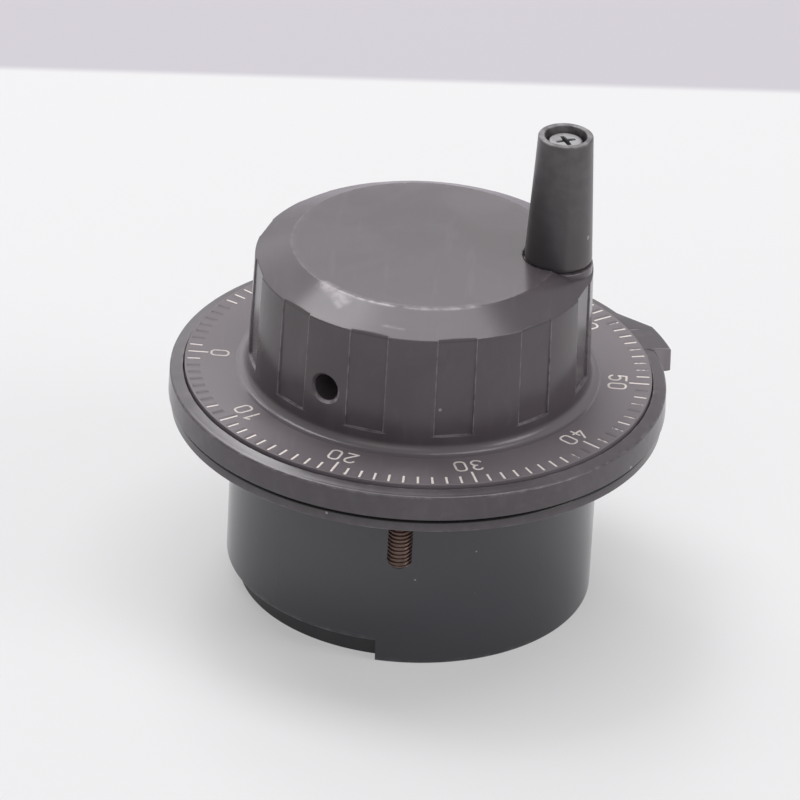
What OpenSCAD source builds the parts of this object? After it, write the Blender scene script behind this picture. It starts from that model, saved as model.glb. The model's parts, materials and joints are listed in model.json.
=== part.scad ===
// Panel-mounted pulse generator handwheel with a 100-division dial, a fluted knob and
// a spinning crank grip. The origin is on the shaft's axis in the plane where the
// mounting flange meets its panel. +Z points out of the panel, towards the operator.
// Angles are counted anticlockwise from +X, where the crank stands at rest.

/* [Body] */
// Radius of the round body behind the panel
body_r = 30; // [28.5:0.5:31]
// Distance from the panel plane to the rear face
body_depth = 30.5; // [29.5:0.5:40]
// Thickness of the body's side wall
body_wall = 2; // [1.6:0.1:2.2]
// Height of the wire notch in the rear edge
notch_h = 3.7; // [2:0.1:5]
// Angle that the wire notch takes
notch_angle = 90; // [40:5:95]
// Where the wire notch starts
notch_from = -186.5; // [-190:0.5:-180]
// Radius of the screw columns inside the body
column_r = 2.8; // [2.4:0.1:3]

/* [Mounting flange] */
// Radius of the mounting flange
flange_r = 40; // [39:0.5:42]
// Thickness of the mounting flange
flange_t = 2.3; // [2:0.1:3]
// Depth of the recess under the flange that takes the body's front edge
spigot = 0.4; // [0.2:0.1:0.6]
// How much the body's front edge steps in under the flange
spigot_step = 0.5; // [0.2:0.1:0.6]
// Gap around the body in that recess
recess_gap = 0.4; // [0.2:0.1:0.6]
// Pitch circle diameter of the mounting studs
stud_pcd = 72; // [70:0.5:73]
// Radius of a mounting stud
stud_r = 2; // [1.5:0.5:2.5]
// How far a stud stands out of the flange
stud_l = 8.6; // [6:0.1:14]
// How much wider a stud is where it is pressed into the flange
stud_neck = 0.25; // [0.1:0.05:0.3]
// Radius of a stud's flat head
stud_head_r = 3.2; // [2.8:0.1:3.3]
// Thickness of a stud's flat head
stud_head_t = 1.2; // [0.8:0.1:1.4]

/* [Bezel] */
// How far the bezel reaches past the mounting flange
bezel_lip = 0.5; // [0:0.1:1]
// Height of the bezel's outer edge above the mounting flange
bezel_h = 4.1; // [3.8:0.1:4.4]
// Rise of the bezel's top from its outer to its inner edge
bezel_rise = 0.5; // [0:0.1:0.7]
// Thickness of the bezel's floor
bezel_floor = 1.9; // [1.6:0.1:2.2]
// Inner radius of the bezel's floor
bezel_floor_r = 32.3; // [31.5:0.1:32.6]
// Reach of the pointer lug past the bezel's rim
lug_reach = 2.8; // [1:0.1:4]
// Where the pointer lug's square front stands
lug_at = 19.5; // [10:0.5:25]
// Angle of the lug's full reach
lug_angle = 7; // [3:0.5:10]
// Angle over which the lug's back runs down to the rim
lug_ramp = 12.5; // [8:0.5:20]
// Where the index line is cut
index_at = 29.5; // [25:0.5:40]

/* [Dial] */
// Radius of the dial plate
dial_r = 37.9; // [37.5:0.1:38.2]
// Thickness of the dial plate
dial_t = 1.3; // [1:0.1:1.5]
// Height of the dial's face above the panel plane
dial_face = 7.5; // [7.3:0.1:8]
// Number of divisions
divisions = 100; // [20:10:200]
// Radius where the division lines end
line_out_r = 37.6; // [37:0.1:37.7]
// Length of a short division line
line_short = 2.1; // [1.5:0.1:2.5]
// Length of the line at every tenth division
line_long = 3.3; // [2.6:0.1:3.5]
// Width of a division line
line_w = 0.4; // [0.2:0.05:0.5]
// Depth of a division line
line_deep = 0.12; // [0.05:0.01:0.2]

/* [Knob] */
// Radius of the knob's side at its top
knob_top_r = 27.05; // [26.5:0.05:27.2]
// Radius of the knob's side at its foot
knob_foot_r = 27.75; // [27.3:0.05:28]
// Height of the knob's side above the dial
knob_side_h = 19.9; // [19:0.1:24]
// Radius of the crease between the top and the sloping band
crease_r = 21.5; // [20.5:0.1:22.5]
// Rise of the sloping band
band_rise = 2.7; // [2:0.1:3.5]
// Depth of the dished top
dish_depth = 0.5; // [0.1:0.1:1]
// Radius of the fillet at the knob's foot
foot_fillet = 1.5; // [1:0.1:1.7]
// Thickness of the knob's side wall
knob_wall = 3.1; // [2.6:0.1:3.6]
// Thickness of the knob's top
knob_top_t = 3; // [2:0.1:3.5]
// Number of flutes
flutes = 12; // [6:6:12]
// Width of a flute
flute_w = 6.2; // [4:0.1:7]
// Depth of a flute at its upper end
flute_deep = 0.5; // [0.2:0.1:0.8]
// Depth of a flute at its lower end
flute_foot_deep = 0.95; // [0.4:0.05:1.2]
// Height of a flute's ledge above the dial
flute_foot = 2.85; // [2:0.05:5]
// Height of the set screws above the dial
set_screw_h = 8.3; // [7:0.1:10]
// Radius of the set screws' access holes
access_r = 2.15; // [2:0.05:2.6]

/* [Crank] */
// Distance from the shaft to the crank grip's axis
crank_r = 21.5; // [20.5:0.1:22]
// Radius of the flat pad under the grip
pad_r = 5.8; // [5.6:0.1:6]
// Height of the pad under the knob's crease
pad_drop = 0.9; // [0.5:0.1:1.2]
// Length of the crank grip
grip_l = 22.2; // [16:0.1:40]
// Radius of the grip at its foot
grip_foot_r = 5.5; // [5:0.1:5.7]
// Radius of the grip at its top
grip_top_r = 4.42; // [4.2:0.02:5]
// Running gap under the grip
grip_gap = 0.3; // [0.1:0.05:0.5]
// Radius of the recess in the grip's top
recess_r = 3.4; // [3.2:0.1:3.6]
// Depth of the recess in the grip's top
recess_deep = 3.3; // [2.8:0.1:4]
// Radius of the grip screw's head
grip_head_r = 2.8; // [2.7:0.1:2.9]
// Height of the grip screw's head
grip_head_h = 2.2; // [1.6:0.1:2.4]
// Outer radius of the sleeve that the grip turns on
sleeve_r = 2.3; // [2.1:0.05:2.4]

/* [Shaft and bearings] */
// Radius of the shaft
shaft_r = 4; // [3.8:0.1:4]
// Outer radius of a bearing
bearing_r = 8; // [7.8:0.1:8.2]
// Width of a bearing
bearing_w = 5; // [4.4:0.1:5]
// Gap between the two bearings
bearing_gap = 5.5; // [4:0.1:5.6]
// Radius of a bearing ball
ball_r = 1.19; // [1.1:0.01:1.2]
// Number of balls in a bearing
balls = 9; // [7:1:9]
// Wall of the bearing carrier's boss
boss_wall = 3.4; // [2.5:0.1:3.6]

/* [Detent and encoder] */
// Width of a pole piece, from the air gap outwards
pole_w = 5.2; // [5:0.1:6]
// Thickness of the detent rotor and its pole pieces
rotor_t = 2; // [1.5:0.1:2.4]
// Depth of a detent tooth
tooth_deep = 0.8; // [0.4:0.1:1]
// Air gap between the rotor's teeth and the pole pieces
air_gap = 0.3; // [0.2:0.05:0.5]
// Angle that a pole piece takes
pole_angle = 84; // [60:2:90]
// How far the code disc's edge lies inside the rotor's teeth
disc_in = 2; // [1.5:0.1:4]
// Thickness of the code disc
disc_t = 0.4; // [0.2:0.05:0.6]
// Length of a slot in the code disc
slot_l = 2; // [1:0.1:2.5]
// Thickness of the encoder board
board_t = 1.6; // [1:0.1:1.6]
// Gap between the encoder board and the body's wall
board_gap = 1; // [0.8:0.1:1.4]

/* [Rear] */
// Thickness of the rear cover's floor
cover_floor = 1.7; // [1.4:0.1:2]
// Wall of the rear cover
cover_wall = 2; // [1.4:0.1:2.4]
// Number of terminals
terminals = 6; // [4:1:6]
// Pitch of the terminals
terminal_pitch = 3.81; // [3.5:0.01:3.81]
// Width of the terminal block
terminal_w = 8.5; // [7:0.1:9]
// Height of the terminal block
terminal_h = 8.7; // [7.5:0.1:9]

/* [Hidden] */
$fn = 96;
// Clearance of parts that are fitted together and stay still
seat = 0.02;
// Running clearance of a shaft in its bore
run = 0.05;
// Clearance of a screw in a through hole
free = 0.2;
// Gap between the turning dial and the fixed bezel
dial_gap = 0.3;
// Small distance by which a cut runs past the face it opens
past = 1;

// Small screws: radius of the shank, and of the countersunk head
screw_r = 1.25;
screw_head_r = 2.3;
pan_head_t = 1.4;
// How far the case, cover, board, dial and grip screws reach into their threads
case_thread_l = 6;
cover_thread_l = 5;
board_thread_l = 6;
dial_thread_l = 5;
grip_thread_l = 7;
// Nut behind the code disc
nut_r = 5.77;
nut_t = 3.2;
// Angles of the studs and the screw columns, and of the posts between them
stud_angles = [for (i = [0:2]) -90 + i * 120];
post_angles = [for (i = [0:2]) -30 + i * 120];
set_screw_angles = [120, 240];

// Heights, from the knob down to the rear face
bezel_z = flange_t;
bezel_r = flange_r + bezel_lip;
bezel_in_r = dial_r + dial_gap;
dial_z = dial_face - dial_t;
knob_z = dial_face;
rim_z = knob_z + knob_side_h;
crease_z = rim_z + band_rise;
pad_z = crease_z - pad_drop;
grip_z = pad_z + grip_gap;
grip_top_z = grip_z + grip_l;
head_z = grip_top_z - recess_deep + free;
set_screw_z = knob_z + set_screw_h;
front_bearing_z = flange_t + 2.2 - bearing_w;
rear_bearing_z = front_bearing_z - bearing_gap - bearing_w;
boss_z = rear_bearing_z - 0.5;
boss_r = bearing_r + boss_wall;
collar_t = 0.8;
collar_r = shaft_r + 1.3;
hub_z = front_bearing_z + bearing_w + collar_t;
rotor_hub_t = 2.8;
rotor_z = rear_bearing_z - rotor_hub_t;
disc_hub_t = 3.8;
disc_hub_z = rotor_z - disc_hub_t;
disc_seat_t = 0.8;
disc_gap = 1.4;
disc_z = disc_hub_z + disc_seat_t;
board_z = disc_z - disc_gap - board_t;
plate_t = 2.5;
plate_z = spigot - plate_t;
column_z = board_z - 2;
cover_z = column_z - cover_floor;

// Bearing pitch circle, and the ring walls either side of the balls
ball_pitch_r = (shaft_r + bearing_r) / 2;
race_r = ball_r + 0.06;
ring_wall = 1.1;

// Places across the axis
stud_neck_r = stud_r + stud_neck;
column_at = body_r - body_wall - column_r - 0.5;
pole_out_r = body_r - body_wall - 1.5;
pole_in_r = pole_out_r - pole_w;
rotor_r = pole_in_r - air_gap;
rotor_hole_r = 3.6;
rotor_hole_at = rotor_r - 8.5;
magnet_in_r = pole_in_r + 1.3;
magnet_t = 2;
disc_r = rotor_r - disc_in;
post_r = 2.3;
post_at = pole_out_r - post_r;
bezel_screw_at = 35.2;
bezel_screw_l = 1.3;
dial_bore_r = 10.5;
hub_r = 7.5;
dial_screw_at = 17.5;
terminal_at = 9.2 + terminal_w / 2;
terminal_len = terminals * terminal_pitch + 0.8;
shell_in_r = body_r - body_wall;
spigot_r = body_r - spigot_step;
board_r = shell_in_r - board_gap;
board_hole_r = 8;
cover_r = shell_in_r - 0.1;
insert_r = 2.6;
insert_l = 8;
grip_screw_r = 1.5;
set_screw_r = 2;
set_screw_l = 4.5;
rear_thread_r = shaft_r - 1;
rear_thread_l = nut_t + 0.4;

// Copies its children to each angle, at radius r
module around(angles, r = 0) {
    for (a = angles) rotate(a) translate([r, 0, 0]) children();
}

// Ring or tube between two radii, from z upwards
module ring(r_out, r_in, z, h) {
    translate([0, 0, z]) difference() {
        cylinder(r = r_out, h = h);
        translate([0, 0, -past]) cylinder(r = r_in, h = h + 2 * past);
    }
}

// Arc of a ring with a height, centred on +X
module arc_block(r_out, r_in, angle, z, h) {
    translate([0, 0, z]) rotate(-angle / 2) rotate_extrude(angle = angle)
        translate([r_in, 0]) square([r_out - r_in, h]);
}

// Countersunk screw with a cross slot, head down the +Z side, its flat top at z = 0
module flat_screw(r, head_r, l) {
    difference() {
        union() {
            translate([0, 0, -l]) cylinder(r = r, h = l);
            translate([0, 0, r - head_r]) cylinder(r1 = r, r2 = head_r, h = head_r - r);
        }
        cross_slot(head_r * 0.55, (head_r - r) * 0.7);
    }
}

// Space for a countersunk screw, the head's flat top at z = 0
module flat_screw_hole(r, head_r, l) {
    translate([0, 0, -l]) cylinder(r = r, h = l + past);
    translate([0, 0, r - head_r]) cylinder(r1 = r, r2 = head_r, h = head_r - r);
    cylinder(r = head_r, h = past);
}

// Cross slot sunk into a head whose top is at z = 0
module cross_slot(reach, deep) {
    for (a = [0, 90]) rotate(a) translate([-reach, -reach * 0.18, -deep])
        cube([2 * reach, reach * 0.36, deep + past]);
}

// ---- fixed parts ----

module mounting_flange() {
    color("#3f3d40") difference() {
        cylinder(r = flange_r, h = flange_t);
        translate([0, 0, -past]) cylinder(r = boss_r + free, h = flange_t + 2 * past);
        translate([0, 0, -past]) cylinder(r = body_r + recess_gap, h = spigot + past);
        around(stud_angles, stud_pcd / 2) {
            translate([0, 0, -past]) cylinder(r = stud_neck_r + seat, h = flange_t + past);
            translate([0, 0, flange_t - stud_head_t])
                cylinder(r = stud_head_r + seat, h = stud_head_t + past);
        }
        around(stud_angles, column_at) translate([0, 0, flange_t])
            flat_screw_hole(screw_r + free, screw_head_r + seat, flange_t + past);
        around(post_angles, bezel_screw_at) translate([0, 0, flange_t - bezel_screw_l])
            cylinder(r = screw_r, h = bezel_screw_l + past);
    }
}

module mounting_studs() {
    color("#9a6a52") around(stud_angles, stud_pcd / 2) {
        translate([0, 0, -stud_l]) cylinder(r = stud_r, h = stud_l);
        cylinder(r = stud_neck_r, h = flange_t - stud_head_t);
        translate([0, 0, flange_t - stud_head_t]) cylinder(r = stud_head_r, h = stud_head_t);
    }
}

// Point at an angle and a radius
function polar(r, a) = r * [cos(a), sin(a)];

// Lug with a square front, an arc at its full reach and a back that ramps down to the rim
module pointer_lug() {
    back = lug_at + lug_angle + lug_ramp;
    linear_extrude(bezel_h) polygon(concat(
        [polar(bezel_in_r - past, lug_at)],
        [for (i = [0:4]) polar(bezel_r + lug_reach, lug_at + i * lug_angle / 4)],
        [polar(bezel_r - 0.1, back), polar(bezel_in_r - past, back)]
    ));
}

module bezel_ring() {
    edge = 0.2;
    color("#464346") translate([0, 0, bezel_z]) difference() {
        union() {
            rotate_extrude() polygon([
                [bezel_floor_r, 0], [bezel_r, 0], [bezel_r - 0.1, bezel_h - edge],
                [bezel_r - 0.1 - edge, bezel_h], [bezel_in_r, bezel_h + bezel_rise],
                [bezel_in_r, bezel_floor], [bezel_floor_r, bezel_floor]
            ]);
            difference() {
                pointer_lug();
                translate([0, 0, -past]) cylinder(r = bezel_in_r, h = bezel_h + 2 * past);
            }
        }
        around(post_angles, bezel_screw_at) translate([0, 0, bezel_floor])
            flat_screw_hole(screw_r + free, screw_head_r + seat, bezel_floor + past);
        rotate(index_at) translate([bezel_in_r + 0.3, -0.15, bezel_h - 0.05])
            cube([bezel_r - bezel_in_r - 0.6, 0.3, bezel_rise + past]);
    }
}

module bezel_screws() {
    color("#8d8f92") around(post_angles, bezel_screw_at)
        translate([0, 0, bezel_z + bezel_floor])
        flat_screw(screw_r, screw_head_r, bezel_floor + bezel_screw_l - 0.1);
}

// Tube with the wire notch in its rear edge and three screw columns on its inside
module body_shell() {
    color("#3c3d40") difference() {
        union() {
            ring(body_r, shell_in_r, -body_depth, body_depth);
            ring(spigot_r, shell_in_r, -spigot, 2 * spigot);
            intersection() {
                around(stud_angles, column_at) translate([0, 0, column_z]) {
                    cylinder(r = column_r, h = plate_z - column_z);
                    translate([0, -column_r, 0])
                        cube([column_r + 1.5, 2 * column_r, plate_z - column_z]);
                }
                translate([0, 0, -body_depth]) cylinder(r = body_r - 0.5, h = body_depth);
            }
        }
        translate([0, 0, -body_depth - past]) rotate(notch_from)
            rotate_extrude(angle = notch_angle)
            translate([shell_in_r - 0.01, 0]) square([body_wall + past, notch_h + past]);
        around(stud_angles, column_at) {
            translate([0, 0, plate_z - case_thread_l - past])
                cylinder(r = screw_r, h = case_thread_l + 2 * past);
            translate([0, 0, cover_z])
                cylinder(r = screw_r, h = cover_floor + cover_thread_l + 2 * past);
        }
    }
}

// Plate clamped under the flange, with the bearing boss and the posts for the encoder
module bearing_carrier() {
    post_l = plate_z - rotor_z - rotor_t;
    boss_top = front_bearing_z + bearing_w;
    color("#a9acb0") difference() {
        union() {
            translate([0, 0, plate_z]) cylinder(r = shell_in_r - 0.1, h = plate_t);
            translate([0, 0, boss_z]) cylinder(r = boss_r, h = boss_top - boss_z);
            around(post_angles, post_at) translate([0, 0, rotor_z + rotor_t])
                cylinder(r = post_r, h = post_l + 0.5);
        }
        translate([0, 0, front_bearing_z]) cylinder(r = bearing_r + seat, h = 10);
        translate([0, 0, boss_z - past])
            cylinder(r = bearing_r + seat, h = rear_bearing_z + bearing_w - boss_z + past);
        translate([0, 0, boss_z]) cylinder(r = bearing_r - 1, h = boss_top - boss_z);
        around(post_angles, post_at) translate([0, 0, rotor_z + rotor_t - past])
            cylinder(r = screw_r, h = post_l + past - 0.5);
        around(stud_angles, column_at) translate([0, 0, plate_z - past])
            cylinder(r = screw_r + free, h = plate_t + 2 * past);
    }
}

module case_screws() {
    color("#8d8f92") around(stud_angles, column_at) translate([0, 0, flange_t])
        flat_screw(screw_r, screw_head_r, flange_t - plate_z + case_thread_l);
}

// Outer ring of a ball bearing, with its race
module outer_ring(z) {
    color("#c3c6ca") translate([0, 0, z]) difference() {
        ring(bearing_r, bearing_r - ring_wall, 0, bearing_w);
        race();
    }
}

module inner_ring(z) {
    color("#c3c6ca") translate([0, 0, z]) difference() {
        ring(shaft_r + ring_wall, shaft_r + seat, 0, bearing_w);
        race();
    }
}

module race() {
    translate([0, 0, bearing_w / 2]) rotate_extrude()
        translate([ball_pitch_r, 0]) circle(r = race_r);
}

module ball_set(z) {
    color("#d5d8db") around([for (i = [0:balls - 1]) i * 360 / balls], ball_pitch_r)
        translate([0, 0, z + bearing_w / 2]) sphere(r = ball_r);
}

module ball_cage(z) {
    half = 0.55;
    high = ball_r + 0.45;
    color("#b08d4f") difference() {
        ring(ball_pitch_r + half, ball_pitch_r - half, z + bearing_w / 2 - high, 2 * high);
        around([for (i = [0:balls - 1]) i * 360 / balls], ball_pitch_r)
            translate([0, 0, z + bearing_w / 2]) sphere(r = ball_r + 0.03);
    }
}

module front_bearing_outer() outer_ring(front_bearing_z);
module rear_bearing_outer() outer_ring(rear_bearing_z);
module front_bearing_inner() inner_ring(front_bearing_z);
module rear_bearing_inner() inner_ring(rear_bearing_z);
module front_ball_cage() ball_cage(front_bearing_z);
module rear_ball_cage() ball_cage(rear_bearing_z);
module front_balls() ball_set(front_bearing_z);
module rear_balls() ball_set(rear_bearing_z);

// Toothed arcs that hold the rotor's teeth magnetically, clear of them all round
module pole_pieces() {
    step = 360 / divisions;
    reach = floor((pole_angle / 2 - 2) / step);
    color("#77797d") around(post_angles) difference() {
        arc_block(pole_out_r, pole_in_r, pole_angle, rotor_z, rotor_t);
        for (i = [-reach:reach - 1]) rotate((i + 0.5) * step)
            translate([pole_in_r - past, -step * pole_in_r * PI / 720, rotor_z - past])
            cube([past + tooth_deep, step * pole_in_r * PI / 360, rotor_t + 2 * past]);
        translate([post_at, 0, rotor_z - past])
            cylinder(r = screw_r + free, h = rotor_t + 2 * past);
    }
}

module detent_magnets() {
    color("#5b5d63") around(post_angles) for (s = [-1, 1]) rotate(s * 23)
        arc_block(pole_out_r, magnet_in_r, 28, rotor_z + rotor_t, magnet_t);
}

// Light source above the code disc, in one piece with the foot that stands on the board
module light_source() {
    low = board_z + board_t;
    top = rotor_z - 0.5;
    color("#2b2b2e") rotate(180) union() {
        translate([disc_r + 0.5, -4, low]) cube([2.8, 8, top - low]);
        translate([disc_r - 4, -4, disc_z + disc_t + 0.4])
            cube([5, 8, top - disc_z - disc_t - 0.4]);
    }
}

module photo_sensor() {
    color("#34343a") rotate(180) translate([disc_r - 4, -3.5, board_z + board_t])
        cube([4.2, 7, disc_z - 0.4 - board_z - board_t]);
}

// Board with a hole for the nut, holes for its screws and notches for the columns
module encoder_board() {
    color("#2f6b45") difference() {
        translate([0, 0, board_z]) cylinder(r = board_r, h = board_t);
        translate([0, 0, board_z - past]) cylinder(r = board_hole_r, h = board_t + 2 * past);
        around(post_angles, post_at) translate([0, 0, board_z - past])
            cylinder(r = screw_r + free, h = board_t + 2 * past);
        around(stud_angles, column_at) translate([0, -column_r - 0.4, board_z - past])
            cube([10, 2 * column_r + 0.8, board_t + 2 * past]);
        around(stud_angles, column_at) translate([0, 0, board_z - past])
            cylinder(r = column_r + 0.4, h = board_t + 2 * past);
    }
}

module board_spacers() {
    color("#c8cacc") around(post_angles, post_at)
        ring(post_r, screw_r + free, board_z + board_t, rotor_z - board_z - board_t);
}

// Pan-head screws through board, spacer and pole piece into the posts
module board_screws() {
    color("#8d8f92") around(post_angles, post_at) {
        difference() {
            translate([0, 0, board_z - pan_head_t]) cylinder(r = screw_head_r, h = pan_head_t);
            translate([0, 0, board_z - pan_head_t]) mirror([0, 0, 1]) cross_slot(1.3, 0.8);
        }
        translate([0, 0, board_z])
            cylinder(r = screw_r, h = rotor_z + rotor_t - board_z + board_thread_l);
    }
}

// Block on the board's rear side, with a screw pit and a wire entry for each terminal
module terminal_block() {
    low = board_z - terminal_h;
    first = -(terminals - 1) / 2 * terminal_pitch;
    color("#2f7a4c") difference() {
        translate([terminal_at - terminal_w / 2, -terminal_len / 2, low])
            cube([terminal_w, terminal_len, terminal_h]);
        for (i = [0:terminals - 1]) translate([0, first + i * terminal_pitch, 0]) {
            translate([terminal_at, 0, low - past]) cylinder(r = 1.5, h = past + 2.6);
            translate([terminal_at - terminal_w / 2 - past, -1.2, low + 1.4])
                cube([past + 2, 2.4, 2.4]);
        }
    }
}

module terminal_screws() {
    low = board_z - terminal_h;
    first = -(terminals - 1) / 2 * terminal_pitch;
    color("#b9bcbf") for (i = [0:terminals - 1])
        translate([terminal_at, first + i * terminal_pitch, low + 0.8]) difference() {
            cylinder(r = 1.5 - seat, h = 1.8);
            translate([-2, -0.25, -past]) cube([4, 0.5, past + 0.7]);
        }
}

// Shallow cup, open to the rear: the wires are fastened in it and leave by the notch
module rear_cover() {
    color("#333437") difference() {
        translate([0, 0, -body_depth]) cylinder(r = cover_r, h = column_z + body_depth);
        translate([0, 0, -body_depth - past])
            cylinder(r = cover_r - cover_wall, h = cover_z + body_depth + past);
        translate([terminal_at - terminal_w / 2 - 0.2, -terminal_len / 2 - 0.2, cover_z - past])
            cube([terminal_w + 0.4, terminal_len + 0.4, cover_floor + 2 * past]);
        translate([-cover_r - past, -4, -body_depth - past])
            cube([cover_wall + 2 * past, 8, notch_h + past]);
        around(stud_angles, column_at) translate([0, 0, cover_z]) mirror([0, 0, 1])
            flat_screw_hole(screw_r + free, screw_head_r + seat, cover_floor + past);
    }
}

module cover_screws() {
    color("#8d8f92") around(stud_angles, column_at) translate([0, 0, cover_z])
        mirror([0, 0, 1]) flat_screw(screw_r, screw_head_r, cover_floor + cover_thread_l);
}

// ---- turning parts ----

// Shaft with a collar on the front bearing, flats for the set screws and a rear thread
module shaft() {
    front = set_screw_z + 6;
    color("#b4b7ba") difference() {
        union() {
            translate([0, 0, disc_hub_z]) cylinder(r = shaft_r, h = front - disc_hub_z);
            translate([0, 0, hub_z - collar_t]) cylinder(r = collar_r, h = collar_t);
            translate([0, 0, disc_hub_z - rear_thread_l]) cylinder(r = rear_thread_r, h = rear_thread_l);
        }
        around(set_screw_angles) translate([shaft_r - 0.5, -4, set_screw_z - 3])
            cube([3, 8, 6]);
    }
}

module shaft_nut() {
    color("#a5a8ab") translate([0, 0, disc_hub_z - nut_t]) difference() {
        cylinder(r = nut_r, h = nut_t, $fn = 6);
        translate([0, 0, -past]) cylinder(r = rear_thread_r + seat, h = nut_t + 2 * past);
    }
}

module bearing_spacer() {
    color("#a5a8ab") ring(shaft_r + ring_wall, shaft_r + seat,
        rear_bearing_z + bearing_w, bearing_gap);
}

module hub_insert() {
    top = set_screw_z + 7;
    color("#b89a5c") difference() {
        ring(hub_r, shaft_r + seat, hub_z, top - hub_z);
        around(set_screw_angles) translate([0, 0, set_screw_z]) rotate([0, 90, 0])
            cylinder(r = set_screw_r, h = hub_r + past);
    }
}

// Grub screws that bear on the shaft's flats
module set_screws() {
    color("#6f7174") around(set_screw_angles)
        translate([shaft_r - 0.5, 0, set_screw_z]) rotate([0, 90, 0]) difference() {
            cylinder(r = set_screw_r - seat, h = set_screw_l);
            translate([0, 0, set_screw_l - 2]) cylinder(r = 1.15, h = 2 + past, $fn = 6);
        }
}

// Height of the dished top at radius r
function dish(r) = crease_z - dish_depth * (1 - pow(r / crease_r, 2));

// Outline of the knob, from the middle of its dished top to the foot fillet
module knob_outline() {
    foot_r = knob_foot_r + foot_fillet;
    polygon(concat(
        [for (i = [0:6]) [crease_r * i / 6, dish(crease_r * i / 6)]],
        [[knob_top_r, rim_z], [knob_foot_r, knob_z + foot_fillet]],
        [for (a = [15:15:75]) [foot_r - foot_fillet * cos(a),
            knob_z + foot_fillet - foot_fillet * sin(a)]],
        [[foot_r, knob_z + 0.02], [foot_r, knob_z], [0, knob_z]]
    ));
}

// Cutter for one flute, open at the top and with its ledge at the foot
module flute() {
    high = knob_side_h - flute_foot;
    foot_at = knob_foot_r - flute_foot_deep;
    top_at = knob_top_r - flute_deep;
    translate([foot_at, 0, knob_z + flute_foot]) rotate([0, -atan((foot_at - top_at) / high), 0])
        translate([0, -flute_w / 2, 0]) cube([6, flute_w, high + band_rise + 2]);
}

module knob() {
    inside_r = knob_top_r - knob_wall;
    ceiling = rim_z - knob_top_t + 0.6;
    color("#6d696c") difference() {
        union() {
            difference() {
                rotate_extrude() knob_outline();
                around([for (i = [0:flutes - 1]) (i + 0.5) * 360 / flutes]) flute();
                translate([0, 0, knob_z - past]) cylinder(r = inside_r, h = ceiling - knob_z + past);
            }
            translate([crank_r, 0, pad_z - 5]) cylinder(r = pad_r, h = 5);
            translate([0, 0, dial_z]) cylinder(r = dial_bore_r - seat, h = ceiling + 1 - dial_z);
            for (i = [0:5]) rotate(30 + i * 60) translate([hub_r + 1, -1, knob_z + 0.5])
                cube([inside_r - hub_r, 2, ceiling - knob_z]);
            around([60, 180, 300], dial_screw_at) translate([0, 0, knob_z])
                cylinder(r = 3.2, h = ceiling + 1 - knob_z);
            translate([crank_r, 0, ceiling - insert_l]) cylinder(r = 4.4, h = insert_l + 1);
        }
        // the pad is cut flat into the band and the dish
        translate([crank_r, 0, pad_z]) cylinder(r = pad_r, h = 5);
        translate([crank_r, 0, pad_z - insert_l - 0.5]) cylinder(r = insert_r + seat, h = insert_l + 2);
        translate([0, 0, dial_z - past]) cylinder(r = hub_r + seat, h = set_screw_z + 7.5 - dial_z + past);
        around(set_screw_angles) translate([0, 0, set_screw_z]) rotate([0, 90, 0]) {
            cylinder(r = access_r, h = knob_foot_r + past);
            translate([0, 0, (knob_foot_r + knob_top_r) / 2 - 0.35])
                cylinder(r1 = access_r, r2 = access_r + 0.8, h = 0.8);
        }
        around([60, 180, 300], dial_screw_at) translate([0, 0, knob_z - past])
            cylinder(r = screw_r, h = dial_thread_l + 2 * past);
    }
}

// Plate with its division lines cut as shallow grooves, one in ten of them longer
module dial_plate() {
    color("#4a4849") difference() {
        ring(dial_r, dial_bore_r, dial_z, dial_t);
        for (i = [0:divisions - 1]) {
            long = i % 10 == 0 ? line_long : line_short;
            rotate(180 + i * 360 / divisions)
                translate([line_out_r - long, -line_w / 2, dial_face - line_deep])
                cube([long, line_w, line_deep + past]);
        }
        around([60, 180, 300], dial_screw_at) translate([0, 0, dial_z]) mirror([0, 0, 1])
            flat_screw_hole(screw_r + free, screw_head_r + seat, dial_t + past);
    }
}

module dial_screws() {
    color("#8d8f92") around([60, 180, 300], dial_screw_at) translate([0, 0, dial_z])
        mirror([0, 0, 1]) flat_screw(screw_r, screw_head_r, dial_t + dial_thread_l);
}

module grip_insert() {
    color("#b89a5c") translate([crank_r, 0, 0])
        ring(insert_r, grip_screw_r, pad_z - insert_l - 0.4, insert_l + 0.4);
}

module grip_sleeve() {
    color("#b9bcbf") translate([crank_r, 0, 0])
        ring(sleeve_r, grip_screw_r + seat, pad_z, head_z - pad_z);
}

module grip_screw() {
    edge = 0.4;
    color("#9b9da0") translate([crank_r, 0, 0]) difference() {
        union() {
            translate([0, 0, pad_z - grip_thread_l])
                cylinder(r = grip_screw_r - 0.01, h = head_z - pad_z + grip_thread_l);
            translate([0, 0, head_z]) cylinder(r = grip_head_r, h = grip_head_h - edge);
            translate([0, 0, head_z + grip_head_h - edge])
                cylinder(r1 = grip_head_r, r2 = grip_head_r - edge, h = edge);
        }
        translate([0, 0, head_z + grip_head_h]) rotate(25) cross_slot(1.7, 1.2);
    }
}

module detent_rotor() {
    step = 360 / divisions;
    root_r = rotor_r - tooth_deep;
    color("#85888c") difference() {
        union() {
            translate([0, 0, rotor_z]) linear_extrude(rotor_t) polygon([
                for (i = [0:divisions - 1], k = [0:3])
                    (k == 0 || k == 3 ? root_r : rotor_r)
                    * [cos((i + (k - 1.5) / 6) * step), sin((i + (k - 1.5) / 6) * step)]
            ]);
            translate([0, 0, rotor_z]) cylinder(r = shaft_r + 1.1, h = rotor_hub_t);
        }
        translate([0, 0, rotor_z - past])
            cylinder(r = shaft_r + seat, h = rotor_hub_t + 2 * past);
        around([for (i = [0:5]) i * 60], rotor_hole_at) translate([0, 0, rotor_z - past])
            cylinder(r = rotor_hole_r, h = rotor_t + 2 * past);
    }
}

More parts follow.
